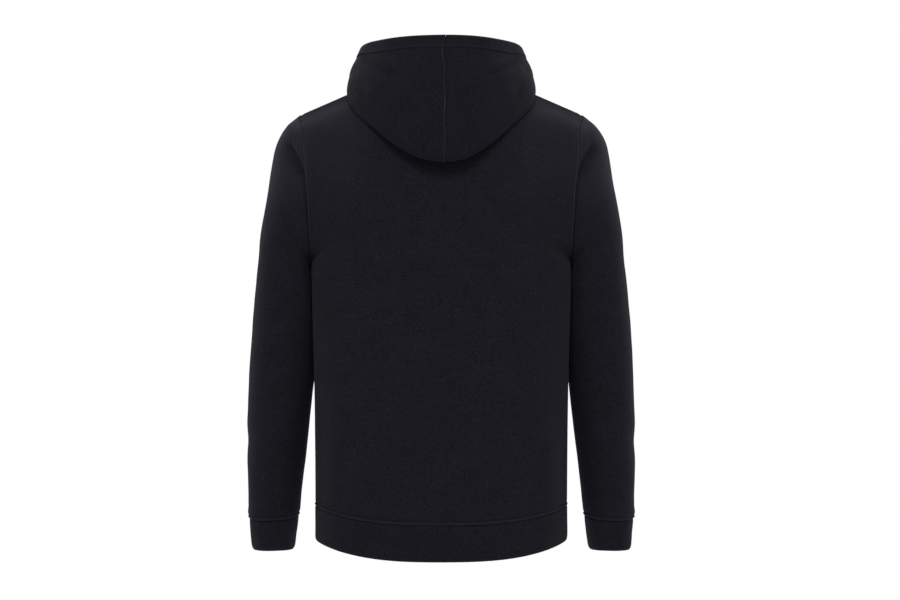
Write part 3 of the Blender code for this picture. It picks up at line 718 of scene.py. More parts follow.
def cloth_shell(name, net, out, lift, worn_and_lit, thickness, finishes, closed=False, fold_from=None, mirror=False):
    """A shell on the net. Lift is how far each point stands off it, fold_from its distance to a fold."""
    wall = np.broadcast_to(thickness, net.shape[:2])
    face = pulled_in(net, closed) + out * lift[..., None]
    middle = face - out * (wall / 2)[..., None]
    fullness = np.ones(net.shape[:2])
    if fold_from is not None:
        into = np.clip(fold_from / (wall / 2), 0, 1)
        fullness = np.sqrt(np.clip(1 - (1 - into) ** 2, THINNEST, 1))
    half_wall = (fullness * wall / 2)[..., None]
    layers = [middle + out * half_wall, middle - out * half_wall]
    points = np.concatenate([layer.reshape(-1, 3) for layer in layers]) * MM
    if mirror:
        points[:, 0] *= -1
    faces, places, one_side = grid_faces(*net.shape[:2], closed)
    mesh = bpy.data.meshes.new(name)
    mesh.from_pydata(points.tolist(), [], faces.tolist())
    for finish in finishes:
        mesh.materials.append(finish)
    on_back = np.zeros(len(faces), int)
    on_back[one_side : 2 * one_side] = 1
    mesh.polygons.foreach_set("material_index", on_back)
    add_stitch_map(mesh, net, places)
    # a value that lightens the cloth: rubbed ridges and folds, and painted highlight on ridges, shoulders
    # and sleeves
    wear_and_highlight = mesh.attributes.new("wear_and_highlight", "FLOAT", "POINT")
    wear_and_highlight.data.foreach_set("value", np.tile(np.clip(worn_and_lit, 0, 1).ravel(), 2))
    flip_if_inside_out(mesh)
    mesh.shade_smooth()
    return placed(name, mesh)


def dress(piece, node, flat, sewn=()):
    """The shell rides on the garment, stands for its solid, and says what sheet it was cut from. What is
    sewn to it rides with it."""
    for part in (piece, *sewn):
        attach(part, "root")
    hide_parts(node)
    print(f"{piece.name}: {len(piece.data.polygons)} faces, flat {flat[0]:.2f} x {flat[1]:.2f} m")


print("shells get a map named", MAP, "and a value named wear")

# %% [markdown]
# ## Stitches
#
# A seam in a sweatshirt is gone over once more, so that its turned edges lie flat. Each stitch comes up out
# of the cloth, lies along it for 2.5 mm and goes down again. A tube five sides round is enough for so fine
# a thread, and all the stitches of a piece are one mesh, made at once from the line that they follow. A
# curve with an array would do as well, but each stitch has to turn with the cloth under it, which is
# simpler to work out point by point.

# %% Stitch maker
THREAD_MM = 0.6
STITCH_MM, PITCH_MM = 2.5, 3.2
THREAD_SIDES, STITCH_RINGS = 5, 5
STITCH_SHARES = np.linspace(0, 1, STITCH_RINGS)
ARCH = np.sin(np.pi * STITCH_SHARES)[:, None]
ARCH_RISE, ARCH_SUNK = 0.7, 0.4  # how far a stitch arches and how deep it starts, in thread thicknesses


def seam_line(face, out, distance, value):
    """Where each column of a net is this far from a seam: a row of places and of directions out."""
    read = []
    for j in range(face.shape[1]):
        order = np.argsort(distance[:, j])
        both = np.concatenate([face[order, j], out[order, j]], axis=1)
        read.append([np.interp(value, distance[order, j], both[:, k]) for k in range(6)])
    return np.array(read)


def stitch_rings(line):
    """The rings of points round each stitch along a line of places and directions out."""
    turn = np.linspace(0, 2 * np.pi, THREAD_SIDES, endpoint=False)[:, None]
    run = np.concatenate([[0], np.cumsum(np.linalg.norm(np.diff(line[:, :3], axis=0), axis=1))])
    at = np.arange(1, run[-1] - STITCH_MM, PITCH_MM)[:, None] + STITCH_MM * STITCH_SHARES
    core, out = (np.stack([np.interp(at, run, line[:, k]) for k in part], axis=-1)
                 for part in ((0, 1, 2), (3, 4, 5)))
    out /= np.linalg.norm(out, axis=-1, keepdims=True)
    ahead = np.gradient(core, axis=1)
    aside = np.cross(ahead / np.linalg.norm(ahead, axis=-1, keepdims=True), out)
    core += out * THREAD_MM * (ARCH_RISE * ARCH - ARCH_SUNK)
    girth = THREAD_MM / 2 * (0.4 + 0.6 * ARCH)[:, :, None]
    return core[:, :, None] + girth * (aside[:, :, None] * np.cos(turn) + out[:, :, None] * np.sin(turn))


def stitched(name, lines, mirror=False):
    """One mesh of all the stitches along these lines."""
    rings = np.concatenate([stitch_rings(line) for line in lines])
    points = rings.reshape(-1, 3) * MM
    if mirror:
        points[:, 0] *= -1
    index = np.arange(len(points)).reshape(rings.shape[:3])
    beside = np.roll(index, -1, axis=2)
    sides = np.stack([index[:, :-1], index[:, 1:], beside[:, 1:], beside[:, :-1]], axis=-1).reshape(-1, 4)
    ends = np.concatenate([index[:, 0], index[:, -1, ::-1]])
    mesh = bpy.data.meshes.new(name)
    mesh.from_pydata(points.tolist(), [], sides.tolist() + ends.tolist())
    mesh.materials.append(thread)
    flip_if_inside_out(mesh)
    mesh.shade_smooth()
    print(f"{name}: {len(rings)} stitches")
    return placed(name, mesh)


print("a stitch of", STITCH_MM, "mm every", PITCH_MM, "mm")

# %% [markdown]
# ## Back and front
#
# The back is nearly smooth: it is pulled down by its own weight from the shoulders. What shows is the ridge
# along the armholes, the strip above the hem band, and a soft upright turn near each side where the cloth
# leaves the back for the side. The front hangs over nothing, so it has a few more drags from the shoulders
# and above the band. A cloth simulation would find creases of its own, but not these. So each one is a row
# in a table.

# %% Back and front creases
BACK_CREASES = table(
    "side from_a from_z to_a to_z bow width depth lip",
    (0, 162, -520, 160, -632, 2, 10, 2.2, 0.0),  # the turn near each side, above the band
    (0, -162, -525, -160, -632, -2, 10, 2.1, 0.0),
    (0, 181, -440, 179, -640, 0, 8, -3.0, 0.0),  # drawn in beside the side seam
    (0, -181, -445, -179, -640, 0, 8, -3.0, 0.0),
    (0, 150, -546, 138, -598, 3, 6, -0.9, 0.5),
    (0, -148, -552, -137, -596, -3, 6, -0.8, 0.5),
    (0, 198, -176, 181, -214, 4, 13, -1.7, 0.2),  # drawn in beside the armhole
    (0, -198, -180, -182, -216, -4, 13, -1.6, 0.2),
    (0, 186, -300, 160, -352, 6, 18, -1.2, 0.3),  # under the arm
    (0, -186, -304, -162, -350, -6, 18, -1.1, 0.3),
    (0, 120, -585, 70, -612, -6, 16, -1.0, 0.3),  # above the band
    (0, -112, -590, -60, -610, 6, 15, -0.8, 0.3),
    (0, 30, -300, 26, -420, 5, 30, -0.7, 0.0),  # down the hollow of the back
)
FRONT_CREASES = table(
    "side from_a from_z to_a to_z bow width depth lip",
    (1, 168, -108, 96, -196, -10, 15, -2.2, 0.4),  # from the shoulder towards the chest
    (1, -170, -112, -104, -188, 10, 14, -2.0, 0.4),
    (1, 120, -96, 64, -150, -6, 12, -1.4, 0.4),
    (1, -122, -92, -58, -152, 6, 12, -1.5, 0.4),
    (1, 184, -292, 128, -338, 8, 16, -2.2, 0.4),  # under the arm
    (1, -184, -288, -132, -344, -8, 17, -2.0, 0.4),
    (1, 150, -560, 62, -596, -8, 15, -2.4, 0.4),  # where the front settles on the band
    (1, -156, -552, -78, -602, 8, 15, -2.1, 0.4),
    (1, 52, -584, -34, -600, -6, 13, -1.6, 0.4),
    (1, 158, -545, 156, -632, 2, 14, 1.8, 0.0),
    (1, -158, -545, -156, -632, -2, 14, 1.8, 0.0),
    (1, 88, -430, 30, -470, 5, 22, -1.4, 0.3),
    (1, -96, -424, -40, -452, -5, 20, -1.2, 0.3),
)
print("creases: back", len(BACK_CREASES["side"]), "and front", len(FRONT_CREASES["side"]))

# %% [markdown]
# ## Relief of a panel
#
# All that makes a panel uneven is added up as one distance out of the cloth: creases, slow waves, the
# valleys and strips of its seams, and their puckers. Along the armhole the body's edge stands up in a
# narrow ridge, which catches the light there, and near the shoulder it softens and puckers. The ridges
# are also drawn lighter, rubbed and with a painted highlight, and the shoulders get a painted highlight.

# %% Panel relief
BODY_CLOTH = 2.0
SHOULDER_STRIP = 0.4  # the shoulder seam's allowances and tape lift the back, and the front less
ARM_RIDGE, ARM_RIDGE_AT, ARM_GROOVE = 1.3, 1.0, 0.5  # the body's edge along the armhole, and its stitching
RIDGE_SOFTENS, SOFTENS_OVER = -104, 24  # from this height up, the ridge softens towards the shoulder


def panel_relief(net, out, creases, shoulder, seed):
    """The creases, seams and unevenness of a torso panel, and how much lighter it is drawn: rubbed and with
    a painted highlight on its seam ridges, with a painted highlight on the shoulders. Shoulder is how far
    the allowances of the shoulder seam lift this panel."""
    up, over = run_along(net, 0), run_along(net, 1)
    side = np.minimum(over, from_end(over, 1))
    top = from_end(up, 0)
    above_arm = rise(heights, 1.0, 0.12)[:, None]
    inset = np.minimum(np.minimum(up, top), side)
    lift = creased(net, out, creases) * rise(inset, 0, 10)
    lift += soft_waves(net, 85, 0.7, seed) * rise(inset, 0, 26)
    lift += strip(up) + valley(up) + puckers(up, over, 0.35, seed)
    lift += shoulder * rise(-top, -9, 9) * (np.abs(columns) > NECK_SHARE)[None, :]
    lift += (1 - above_arm) * valley(side)
    head = rise(net[..., 2], RIDGE_SOFTENS, SOFTENS_OVER)
    ridge = ARM_RIDGE * (1 - 0.8 * head) * np.exp(-(((side - ARM_RIDGE_AT) / ARM_RIDGE_AT) ** 2))
    groove = ARM_GROOVE * (0.4 + 1.4 * head) * np.exp(-(((side - STRIP_WIDTH) / GROOVE_REACH) ** 2))
    lift += above_arm * (ridge - groove)
    lift += above_arm * puckers(side, up, 0.45 + 0.9 * head, seed + 5, reach=7, spacing=6)
    # the seam ridges are rubbed and get a painted highlight; the shoulders get a painted highlight
    worn_and_lit = above_arm * (0.65 - 0.6 * head) * ridge_top(side, ARM_RIDGE_AT, 0.8) + 0.25 * ridge_top(up, 2.5, 1.4)
    return lift, worn_and_lit + painted_top_light(net)


back_out, front_out = outward(back_net, 1), outward(front_net, -1)
back_lift, back_worn_and_lit = panel_relief(back_net, back_out, BACK_CREASES, SHOULDER_STRIP, 1)
front_lift, front_worn_and_lit = panel_relief(front_net, front_out, FRONT_CREASES, 0.5 * SHOULDER_STRIP, 2)
print("relief of the back: from", back_lift.min().round(1), "to", back_lift.max().round(1), "mm")

# %% [markdown]
# ## Stitches of the panels
#
# A line of stitches holds down the turned edges 5 mm from each seam: above the hem band, round both
# armholes and, on the back, below the shoulder seams. Its place is read off the distances that the relief
# used.

# %% Panel stitches
FROM_UNDERARM = 1.05  # the armhole's stitches start just above the underarm


def panel_sewing(name, net, out, lift, shoulder_too):
    """The stitches along the hem seam and both armholes of a panel, and along its shoulder seams."""
    face, up, over = net + out * lift[..., None], run_along(net, 0), run_along(net, 1)
    arm = heights >= FROM_UNDERARM
    turned = [np.swapaxes(part[arm], 0, 1) for part in (face, out, over, from_end(over, 1))]
    lines = [seam_line(face, out, up, STRIP_WIDTH)]
    lines += [seam_line(turned[0], turned[1], distance, STRIP_WIDTH) for distance in turned[2:]]
    if shoulder_too:
        top = from_end(up, 0)
        for part in (columns < -NECK_SHARE, columns > NECK_SHARE):
            lines.append(seam_line(face[:, part], out[:, part], top[:, part], STRIP_WIDTH))
    return stitched(name, lines)


back_sewing = panel_sewing("back_stitches", back_net, back_out, back_lift, True)
front_sewing = panel_sewing("front_stitches", front_net, front_out, front_lift, False)

# %% [markdown]
# ## Tape behind the side seams
#
# Two panels with turned edges still meet in a hairline, and with a light ground behind the garment it would
# show as a bright slit from the side. On the real garment the allowances close it. Here a narrow tape
# behind each side seam does.

# %% Panel shells
SIDE_TAPE_THICKNESS, SIDE_TAPE_CLEARANCE = 1.0, 2.0  # clear of even cloth, but not of every crease
SIDE_TAPE_COLUMNS = 9  # of the back, counted from the seam, and one fewer of the front
BELOW_UNDERARM = 3  # rows that the tape stops short of the underarm


def side_tape(side, inside, back_part, front_part):
    """The turned edges of one side seam: a tape behind both panels, which it crosses in a few places."""
    seam = slice(0, len(LOWER) - BELOW_UNDERARM)
    net = np.concatenate([back_net[seam, back_part], front_net[seam, front_part]], axis=1)
    behind = np.full(net.shape[:2], BODY_CLOTH + SIDE_TAPE_CLEARANCE)
    return cloth_shell(f"side_{side}_seam_tape", net, outward(net, inside), -behind, 0 * behind,
                       SIDE_TAPE_THICKNESS, (fleece_loops, fleece_loops))


cloth_sides = (fleece_face, fleece_loops)
back_panel = cloth_shell("back_panel", back_net, back_out, back_lift, back_worn_and_lit, BODY_CLOTH, cloth_sides)
front_panel = cloth_shell("front_panel", front_net, front_out, front_lift, front_worn_and_lit, BODY_CLOTH,
                          cloth_sides)
left_tape = side_tape("left", 1, slice(-SIDE_TAPE_COLUMNS, None), slice(-2, -SIDE_TAPE_COLUMNS - 1, -1))
right_tape = side_tape("right", -1, slice(SIDE_TAPE_COLUMNS - 1, None, -1), slice(1, SIDE_TAPE_COLUMNS))
back_sewn = [back_sewing, left_tape, right_tape]
dress(back_panel, "back", (0.52, 0.68), sewn=back_sewn)
dress(front_panel, "front", (0.54, 0.66), sewn=[front_sewing])

# %% [markdown]
# ## Hem band
#
# The band is one ring of knit, folded double, a little shorter than the hem it is sewn to. So it holds the
# hem in, and its lower edge is a soft fold and not a cut edge. At the sides it bows with the cloth above
# it. It could be a bevelled ring, but the half round in the shell maker gives the fold at once.

# %% Hem band shell
RIB_BAND = 3.0
BAND_TUCK, CUFF_TUCK, TUCK_REACH = 1.0, 2.2, 8.0  # a folded edge draws in as it turns
BAND_CREASES = table(
    "side from_a from_z to_a to_z bow width depth lip",
    (0, 156, -636, 153, -688, 0, 13, 1.5, 0.0),
    (0, -156, -636, -153, -688, 0, 13, 1.5, 0.0),
    (1, 156, -636, 153, -688, 0, 13, 1.5, 0.0),
    (1, -156, -636, -153, -688, 0, 13, 1.5, 0.0),
    (0, 112, -652, 108, -700, 0, 11, -0.7, 0.0),
    (1, -86, -642, -82, -690, 0, 12, -0.8, 0.0),
    (1, 64, -642, 67, -690, 0, 12, -0.7, 0.0),
)


def hem_ring(z):
    """A whole ring of the torso, back then front, without repeating its first point."""
    return np.concatenate([torso_row(BACK, columns, z), torso_row(FRONT, columns[::-1], z)[1:-1]])


band_net = np.array([hem_ring(HEM_EDGE + (HEM_SEAM - HEM_EDGE) * share)
                     for share in steps((0, 0.08, 8), (0.08, 0.95, 14), (0.95, 1, 4))])
band_out = outward(band_net, 1, closed=True)
band_up, band_over = run_along(band_net, 0), run_along(band_net, 1)
band_lift = creased(band_net, band_out, BAND_CREASES) + soft_waves(band_net, 60, 0.6, 4)
band_lift += valley(from_end(band_up, 0)) + puckers(from_end(band_up, 0), band_over, 0.45, 9, reach=14)
band_lift -= BAND_TUCK * (1 - rise(band_up, 0, TUCK_REACH)) ** 2
band_worn = 0.3 * ridge_top(band_up, 0, 2.0)
hem_band = cloth_shell("hem_band_ring", band_net, band_out, band_lift, band_worn, RIB_BAND,
                       (band_knit, band_knit), closed=True, fold_from=band_up)
dress(hem_band, "hem_band", (1.00, 0.053))

# %% [markdown]
# ## Sleeves and cuffs
#
# A sleeve is a tube of rings that start as the armhole itself and turn down to the cuff. A worn sleeve
# bends a little at the elbow, where the inside folds, and its weight rests on the band of the cuff, where
# it bags out before it is gathered in. At the head, the cloth turns from the shoulder into the arm and
# breaks in one sharp crease. The rings start from the solids' sizes. Their outer side is up to 3 mm further
# in, and their inner side up to 9 mm, which is inside the body. It is pressed out again later, so that it
# lies flat against the body.

# %% Sleeve sizes
SLEEVE = table(
    "outer_x outer_y outer_z inner_x inner_y inner_z half_depth squareness dip",
    (226.6, 4, -66, 194.8, 4, -283, 68, 2.1, 0),  # head of the sleeve
    (243.8, 1, -89, 194.5, -5, -291, 69, 2.1, 0),
    (252.6, -4, -121, 191.0, -13, -300, 69, 2.2, 0),
    (260.0, -10, -168, 187.0, -20, -314, 69, 2.4, 0),
    (270.4, -15, -225, 184.0, -24, -333, 68, 2.5, 0),  # biceps
    (278.4, -20, -297, 183.0, -28, -358, 66, 2.5, 0),
    (285.4, -25, -368, 185.0, -29, -391, 62, 2.4, 0),
    (291.0, -28, -441, 191.0, -31, -441, 57, 2.3, 0),  # elbow
    (293.8, -33, -530, 201.2, -33, -530, 51, 2.2, 0),
    (294.2, -41, -600, 209.0, -41, -600, 44, 2.2, 1),
    (291.8, -47, -660, 216.6, -47, -656, 39, 2.1, 4),  # cuff seam
)
CUFF = table(
    "outer_x outer_y outer_z inner_x inner_y inner_z half_depth squareness dip",
    (291.4, -47, -660, 217.2, -47, -656, 38, 2.1, 4),
    (290.4, -49, -682, 219.4, -49, -680, 36, 2.1, 2),
    (288.0, -51, -709.6, 224.2, -51, -709.6, 33, 2.1, 0),
)
SLEEVE_CREASES = table(
    "side from_a from_z to_a to_z bow width depth lip",
    (0, 220, -104, 201, -144, 2, 3.6, -6.5, 0.0),  # under the head of the sleeve, at the back
    (0, 219, -98, 199, -138, 2, 2.3, 2.2, 0.0),  # the lip that it breaks over
    (0, 233, -106, 216, -138, 2, 12, -3.6, 0.0),  # and the hollow below it
    (0, 262, -415, 205, -452, 4, 17, -3.0, 0.0),  # behind the elbow
    (0, 286, -470, 236, -498, 4, 15, -1.3, 0.3),
    (0, 270, -300, 222, -336, -5, 20, -1.2, 0.2),
    (1, 285, -418, 208, -462, 5, 17, -4.0, 0.25),  # the bend of the elbow
    (1, 280, -452, 212, -500, -4, 15, -3.0, 0.25),
    (1, 288, -388, 220, -418, 4, 13, -2.0, 0.3),
    (1, 246, -150, 208, -215, 5, 20, -3.5, 0.0),  # down from the front of the shoulder
    (1, 262, -190, 224, -262, 6, 15, -2.0, 0.3),
    (2, -6, -262, -72, -304, 6, 20, -2.2, 0.0),  # across the front of the upper arm
    (2, 26, -520, -70, -548, -6, 15, -1.6, 0.3),
    (0, 288, -612, 222, -628, 3, 13, -2.5, 0.0),  # above the cuff
    (0, 292, -590, 240, -600, -3, 9, -1.2, 0.3),
    (1, 284, -606, 226, -634, -4, 13, -3.0, 0.0),
    (1, 290, -580, 232, -596, 4, 11, -1.8, 0.3),
)
CUFF_CREASES = table(
    "side from_a from_z to_a to_z bow width depth lip",
    (0, 275, -674, 273, -708, 0, 8, 1.1, 0.0),
    (0, 252, -684, 246, -708, 0, 10, -1.2, 0.0),
    (1, 262, -676, 258, -706, 0, 9, -1.2, 0.3),
)
print("sleeve:", len(SLEEVE["outer_x"]), "rings and", len(SLEEVE_CREASES["side"]), "creases")

# %% [markdown]
# ## Rings into a tube
#
# Each ring has its own outermost and innermost point, because a sleeve's rings lean: at the top they lie
# nearly upright, like the armhole, and at the elbow they are level. A spline down each line of the net
# joins them. Above the head of the sleeve, where the armhole turns a corner, the spline is mostly replaced
# with straight lines.

# %% Tube helpers
HEAD_TIGHTNESS = 0.8  # how straight the cloth is pulled from the armhole to the head of the sleeve


def ring(size, turns):
    """A closed ring from its outermost and innermost points. Turn 0 is outermost, a quarter turn the back.
    Dip is how much lower its back and front hang."""
    outer = np.array([size["outer_x"], size["outer_y"], size["outer_z"]])
    inner = np.array([size["inner_x"], size["inner_y"], size["inner_z"]])
    power = 2 / size["squareness"]
    reach = np.sign(np.cos(turns)) * np.abs(np.cos(turns)) ** power
    depth = np.sign(np.sin(turns)) * np.abs(np.sin(turns)) ** power
    middle, arm = (outer + inner) / 2, (outer - inner) / 2
    sag = np.stack([0 * depth, size["half_depth"] * depth, -size["dip"] * np.abs(depth)], axis=1)
    return middle + arm * reach[:, None] + sag


def even_ring(sizes, i, shares):
    """The same ring with its points spread evenly on the back half and on the front half."""
    size = {name: sizes[name][i] for name in sizes}
    dense = np.linspace(0, np.pi, CURVE_SAMPLES)
    back = along(ring(size, dense), np.clip(shares, 0, 1))
    front = along(ring(size, -dense), np.clip(2 - shares, 0, 1))
    return np.where((shares <= 1)[:, None], back, front)


def sleeve_rows(first, shares, downs):
    """Rows of points on the sleeve, from the armhole (0) to the cuff seam (1)."""
    rings = np.array([first] + [even_ring(SLEEVE, i, shares) for i in range(len(SLEEVE["outer_x"]))])
    spine = rings.mean(axis=1)
    run = np.concatenate([[0], np.cumsum(np.linalg.norm(np.diff(spine, axis=0), axis=1))])
    run /= run[-1]
    share = np.clip(downs / run[1], 0, 1)[:, None, None]
    straight = rings[0] * (1 - share) + rings[1] * share
    tight = HEAD_TIGHTNESS * (share < 1)
    return spline(run, rings, downs) * (1 - tight) + straight * tight


def band_rows(sizes, shares, downs):
    """Rows of points on a cuff, from its seam (0) to its folded edge (1)."""
    rings = np.array([even_ring(sizes, i, shares) for i in range(len(sizes["outer_x"]))])
    return spline(np.linspace(0, 1, len(rings)), rings, downs)


hang = SHOULDER_POINT - np.array([SLEEVE["outer_x"][-1], SLEEVE["outer_y"][-1], SLEEVE["outer_z"][-1]])
print("sleeve", round(np.linalg.norm(hang)), "mm from shoulder point to cuff seam")

# %% [markdown]
# ## Keeping pieces apart
#
# The sleeve hangs against the side, and the hood lies on the shoulders. Where a net comes nearer to a panel
# than a set clearance, its points are moved out. Blender's Shrinkwrap modifier could do much of this, but a
# place past a panel's edge has to be left alone, and that takes a test of its own. A tree of the panels'
# faces finds the nearest one quickly.

# %% Settle helper
REST_CLEARANCE = 1.1
HOOD_CLEARANCE = 3.0
SETTLE_REACH = 16.0
SETTLE_PASSES = 2
EDGE_SHARE = 0.5  # a place this much sideways of the nearest panel lies past its edge
TORSO_AXIS_Y = 10.0  # the torso's upright axis, from which a panel's outside faces away
SHOULDER_LEVEL, SHOULDER_RISE = -120.0, 60.0  # above this height, the way out of the torso is also up


def tree_of(*nets):
    """A search tree of the faces of these nets."""
    points, faces = [], []
    for net in nets:
        rows, count = net.shape[:2]
        start = len(points)
        points += [Vector(p) for p in net.reshape(-1, 3)]
        for i in range(rows - 1):
            for j in range(count - 1):
                a = start + i * count + j
                faces.append((a, a + count, a + count + 1, a + 1))
    return BVHTree.FromPolygons(points, faces)


def settled(net, tree, clearance):
    """The net with each point that comes nearer to the panels than the clearance moved away from them."""
    wanted = np.broadcast_to(np.reshape(clearance, (-1, 1)), net.shape[:2])
    moved = net.copy()
    for _ in range(SETTLE_PASSES):
        for at in np.ndindex(*net.shape[:2]):
            near, normal, _, distance = tree.find_nearest(Vector(moved[at]))
            if distance > SETTLE_REACH:
                continue
            upwards = SHOULDER_RISE if near.z > SHOULDER_LEVEL else 0
            leaving = Vector((near.x, near.y - TORSO_AXIS_Y, upwards))
            normal = normal if normal.dot(leaving) > 0 else -normal
            away = Vector(moved[at]) - near
            missing = wanted[at] - away.dot(normal)
            past_the_edge = (away - normal * away.dot(normal)).length > EDGE_SHARE * max(distance, 0.5)
            if missing > 0 and not past_the_edge:
                moved[at] += np.array(normal) * missing
    return moved


panels = tree_of(back_net, front_net)
print("panel tree ready")

# %% [markdown]
# ## The sleeve's net
#
# The first row of the sleeve is the armhole of the two panels, so its places have to be spread as theirs
# are. From there on, the rows are close together near the shoulder and the cuff seam, where the form is
# finest.

# %% Sleeve net
ARMHOLE_BEND = 0.92  # how the panels' rows crowd towards the shoulder
SLEEVE_CROWD = 1.15  # above 1, the sleeve's rows crowd towards the armhole
EASE_SHARE, EASE_LEAST = 0.3, 0.3  # over this part of the sleeve, the clearance grows from this share to all
first_upper = len(LOWER) - 1
down = back_net[first_upper:, -1][::-1]
up = front_net[first_upper:, -1]
armhole = np.concatenate([down, up[1:-1]])
rise_share = (UPPER - 1) ** (1 / ARMHOLE_BEND)
ring_shares = np.concatenate([1 - rise_share[::-1], 1 + rise_share[1:-1]])
sleeve_steps = steps((0, 0.014, 10), (0.014, 0.14, 44), (0.14, 0.982, 112), (0.982, 1, 12))
sleeve_downs = sleeve_steps**SLEEVE_CROWD
sleeve_net = sleeve_rows(armhole, ring_shares, sleeve_downs)
sleeve_clearance = REST_CLEARANCE * np.clip(sleeve_downs / EASE_SHARE, EASE_LEAST, 1)
cuff_net = band_rows(CUFF, ring_shares, steps((0, 0.06, 4), (0.06, 0.93, 14), (0.93, 1, 8)))
print("sleeve net:", sleeve_net.shape[:2], "cuff net:", cuff_net.shape[:2])

# %% [markdown]
# ## Relief of sleeves and cuffs
#
# The same kinds of unevenness as on the panels, and some of the sleeve's own. It tucks in beside the body's
# edge. Its forearm is drawn in a little, and above the cuff it bags out, more on the outside. At the back
# of the shoulder its one sharp crease has a lip, rubbed and with a painted highlight, and a hollow below it
# with painted shade, where the painted highlight of the shoulder is left out. The sleeve's head and outer
# side get a painted highlight where the light falls on them.

# %% Sleeve relief
SEAM_TUCK, TUCK_AT = 2.4, 4.5  # below the shoulder, the sleeve tucks in under the edge of the body
FOREARM_SLACK = -1.0
CUFF_VALLEY = 0.6
# the crease at the head: its lip is rubbed and gets a painted highlight, its hollow gets painted shade
HEAD_LIP = (219, -98), (199, -138)  # the lip and the hollow of the crease at the head
HEAD_SHADED_HOLLOW = (226, -104), (208, -142)


def crease_distance(net, start, end):
    """How far each place is from a line between two places, seen from behind."""
    run = np.subtract(end, start)
    place = net[..., [0, 2]] - start
    share = np.clip(place @ run / (run @ run), 0, 1)
    return np.linalg.norm(place - share[..., None] * run, axis=-1)


def sleeve_relief(net, out, seed):
    """How far each point of a sleeve stands off its net, and how much lighter it is drawn, with painted
    light.
    """
    down, around = run_along(net, 0), run_along(net, 1)
    left = from_end(down, 0)
    inset = np.minimum(down, left)
    lift = creased(net, out, SLEEVE_CREASES) * rise(inset, 0, 6)
    lift += soft_waves(net, 70, 1.1, seed) * rise(inset, 0, 18)
    lift += valley(down, 0.9) + puckers(down, around, 0.6, seed, reach=10, spacing=7)
    beside_body = rise(-net[..., 2], 118, 40) * rise(net[..., 2], -268, 30)
    lift -= SEAM_TUCK * beside_body * np.exp(-(((down - TUCK_AT) / 3) ** 2))
    lift += FOREARM_SLACK * rise(down, 250, 120) * rise(left, 12, 30)
    outer_side = 0.5 + 0.5 * np.cos(np.pi * ring_shares)
    lift += (0.4 + 1.2 * outer_side) * np.exp(-(((left - 8) / 7) ** 2))
    lift += valley(left, CUFF_VALLEY) + strip(left)
    lift += puckers(left, around, 0.7, seed + 3, reach=14, spacing=8)
    at_back = out[..., 1] > 0
    # the lip is rubbed and gets a painted highlight; the hollow below it gets painted shade
    lip = np.exp(-((crease_distance(net, *HEAD_LIP) / 1.5) ** 2)) * at_back
    shaded_hollow = np.exp(-((crease_distance(net, *HEAD_SHADED_HOLLOW) / 9) ** 2)) * at_back
    # painted highlight on the sleeve's head and outer side, left out in the hollow, which is painted shade
    painted_light = (painted_top_light(net) + 0.12 * outer_side**6) * (1 - shaded_hollow)
    return lift, 0.2 * ridge_top(left, 2.5, 1.4) + 0.5 * lip + painted_light


def cuff_relief(net, out, seed):
    """How far each point of a cuff stands off its net, and how far it is from the folded edge."""
    down, around = run_along(net, 0), run_along(net, 1)
    left = from_end(down, 0)
    lift = soft_waves(net, 30, 0.7, seed) + valley(down, CUFF_VALLEY) + creased(net, out, CUFF_CREASES)
    lift += puckers(down, around, 0.7, seed + 6, reach=16, spacing=8)
    lift -= CUFF_TUCK * (1 - rise(left, 0, TUCK_REACH)) ** 2
    return lift, left


sleeve_out = outward(sleeve_net, 1, closed=True)
cuff_out = outward(cuff_net, 1, closed=True)
print("shoulder lip:", round(np.hypot(*np.subtract(*HEAD_LIP))), "mm long")

# %% [markdown]
# ## Both sleeves
#
# Left and right are cut alike, so both are made from the left one's net and the right one is mirrored. Each
# has its own seed, so that no two sleeves have the same small waves.

# %% Sleeve and cuff shells
for side, mirror, seed in (("left", False, 11), ("right", True, 12)):
    lift, worn_and_lit = sleeve_relief(sleeve_net, sleeve_out, seed)
    net = sleeve_net + sleeve_out * lift[..., None]
    net[1:] = settled(net, panels, sleeve_clearance)[1:]
    out = outward(net, 1, closed=True)
    sleeve = cloth_shell(f"sleeve_{side}_tube", net, out, 0 * lift, worn_and_lit, BODY_CLOTH, cloth_sides,
                         closed=True, mirror=mirror)
    above_cuff = seam_line(net, out, from_end(run_along(sleeve_net, 0), 0), STRIP_WIDTH)
    sewing = stitched(f"sleeve_{side}_stitches", [np.concatenate([above_cuff, above_cuff[:1]])], mirror)
    dress(sleeve, f"sleeve_{side}", (0.40, 0.60), [sewing])
    lift, to_fold = cuff_relief(cuff_net, cuff_out, seed)
    worn_and_lit = 0.3 * ridge_top(to_fold, 0, 2.0)
    cuff = cloth_shell(f"cuff_{side}_ring", cuff_net, cuff_out, lift, worn_and_lit, RIB_BAND,
                       (band_knit, band_knit), closed=True, fold_from=to_fold, mirror=mirror)
    dress(cuff, f"cuff_{side}", (0.23, 0.051))

# %% [markdown]
# ## Hood
#
# The hood is two halves sewn along the middle, lying back and open. Each line below runs round the neck,
# from the centre back to the centre front, and the cloth goes over them in turn: the face edge, the
# stitching of its turned hem, the belly, the bottom, the hidden layer on the back, and the neck seam.

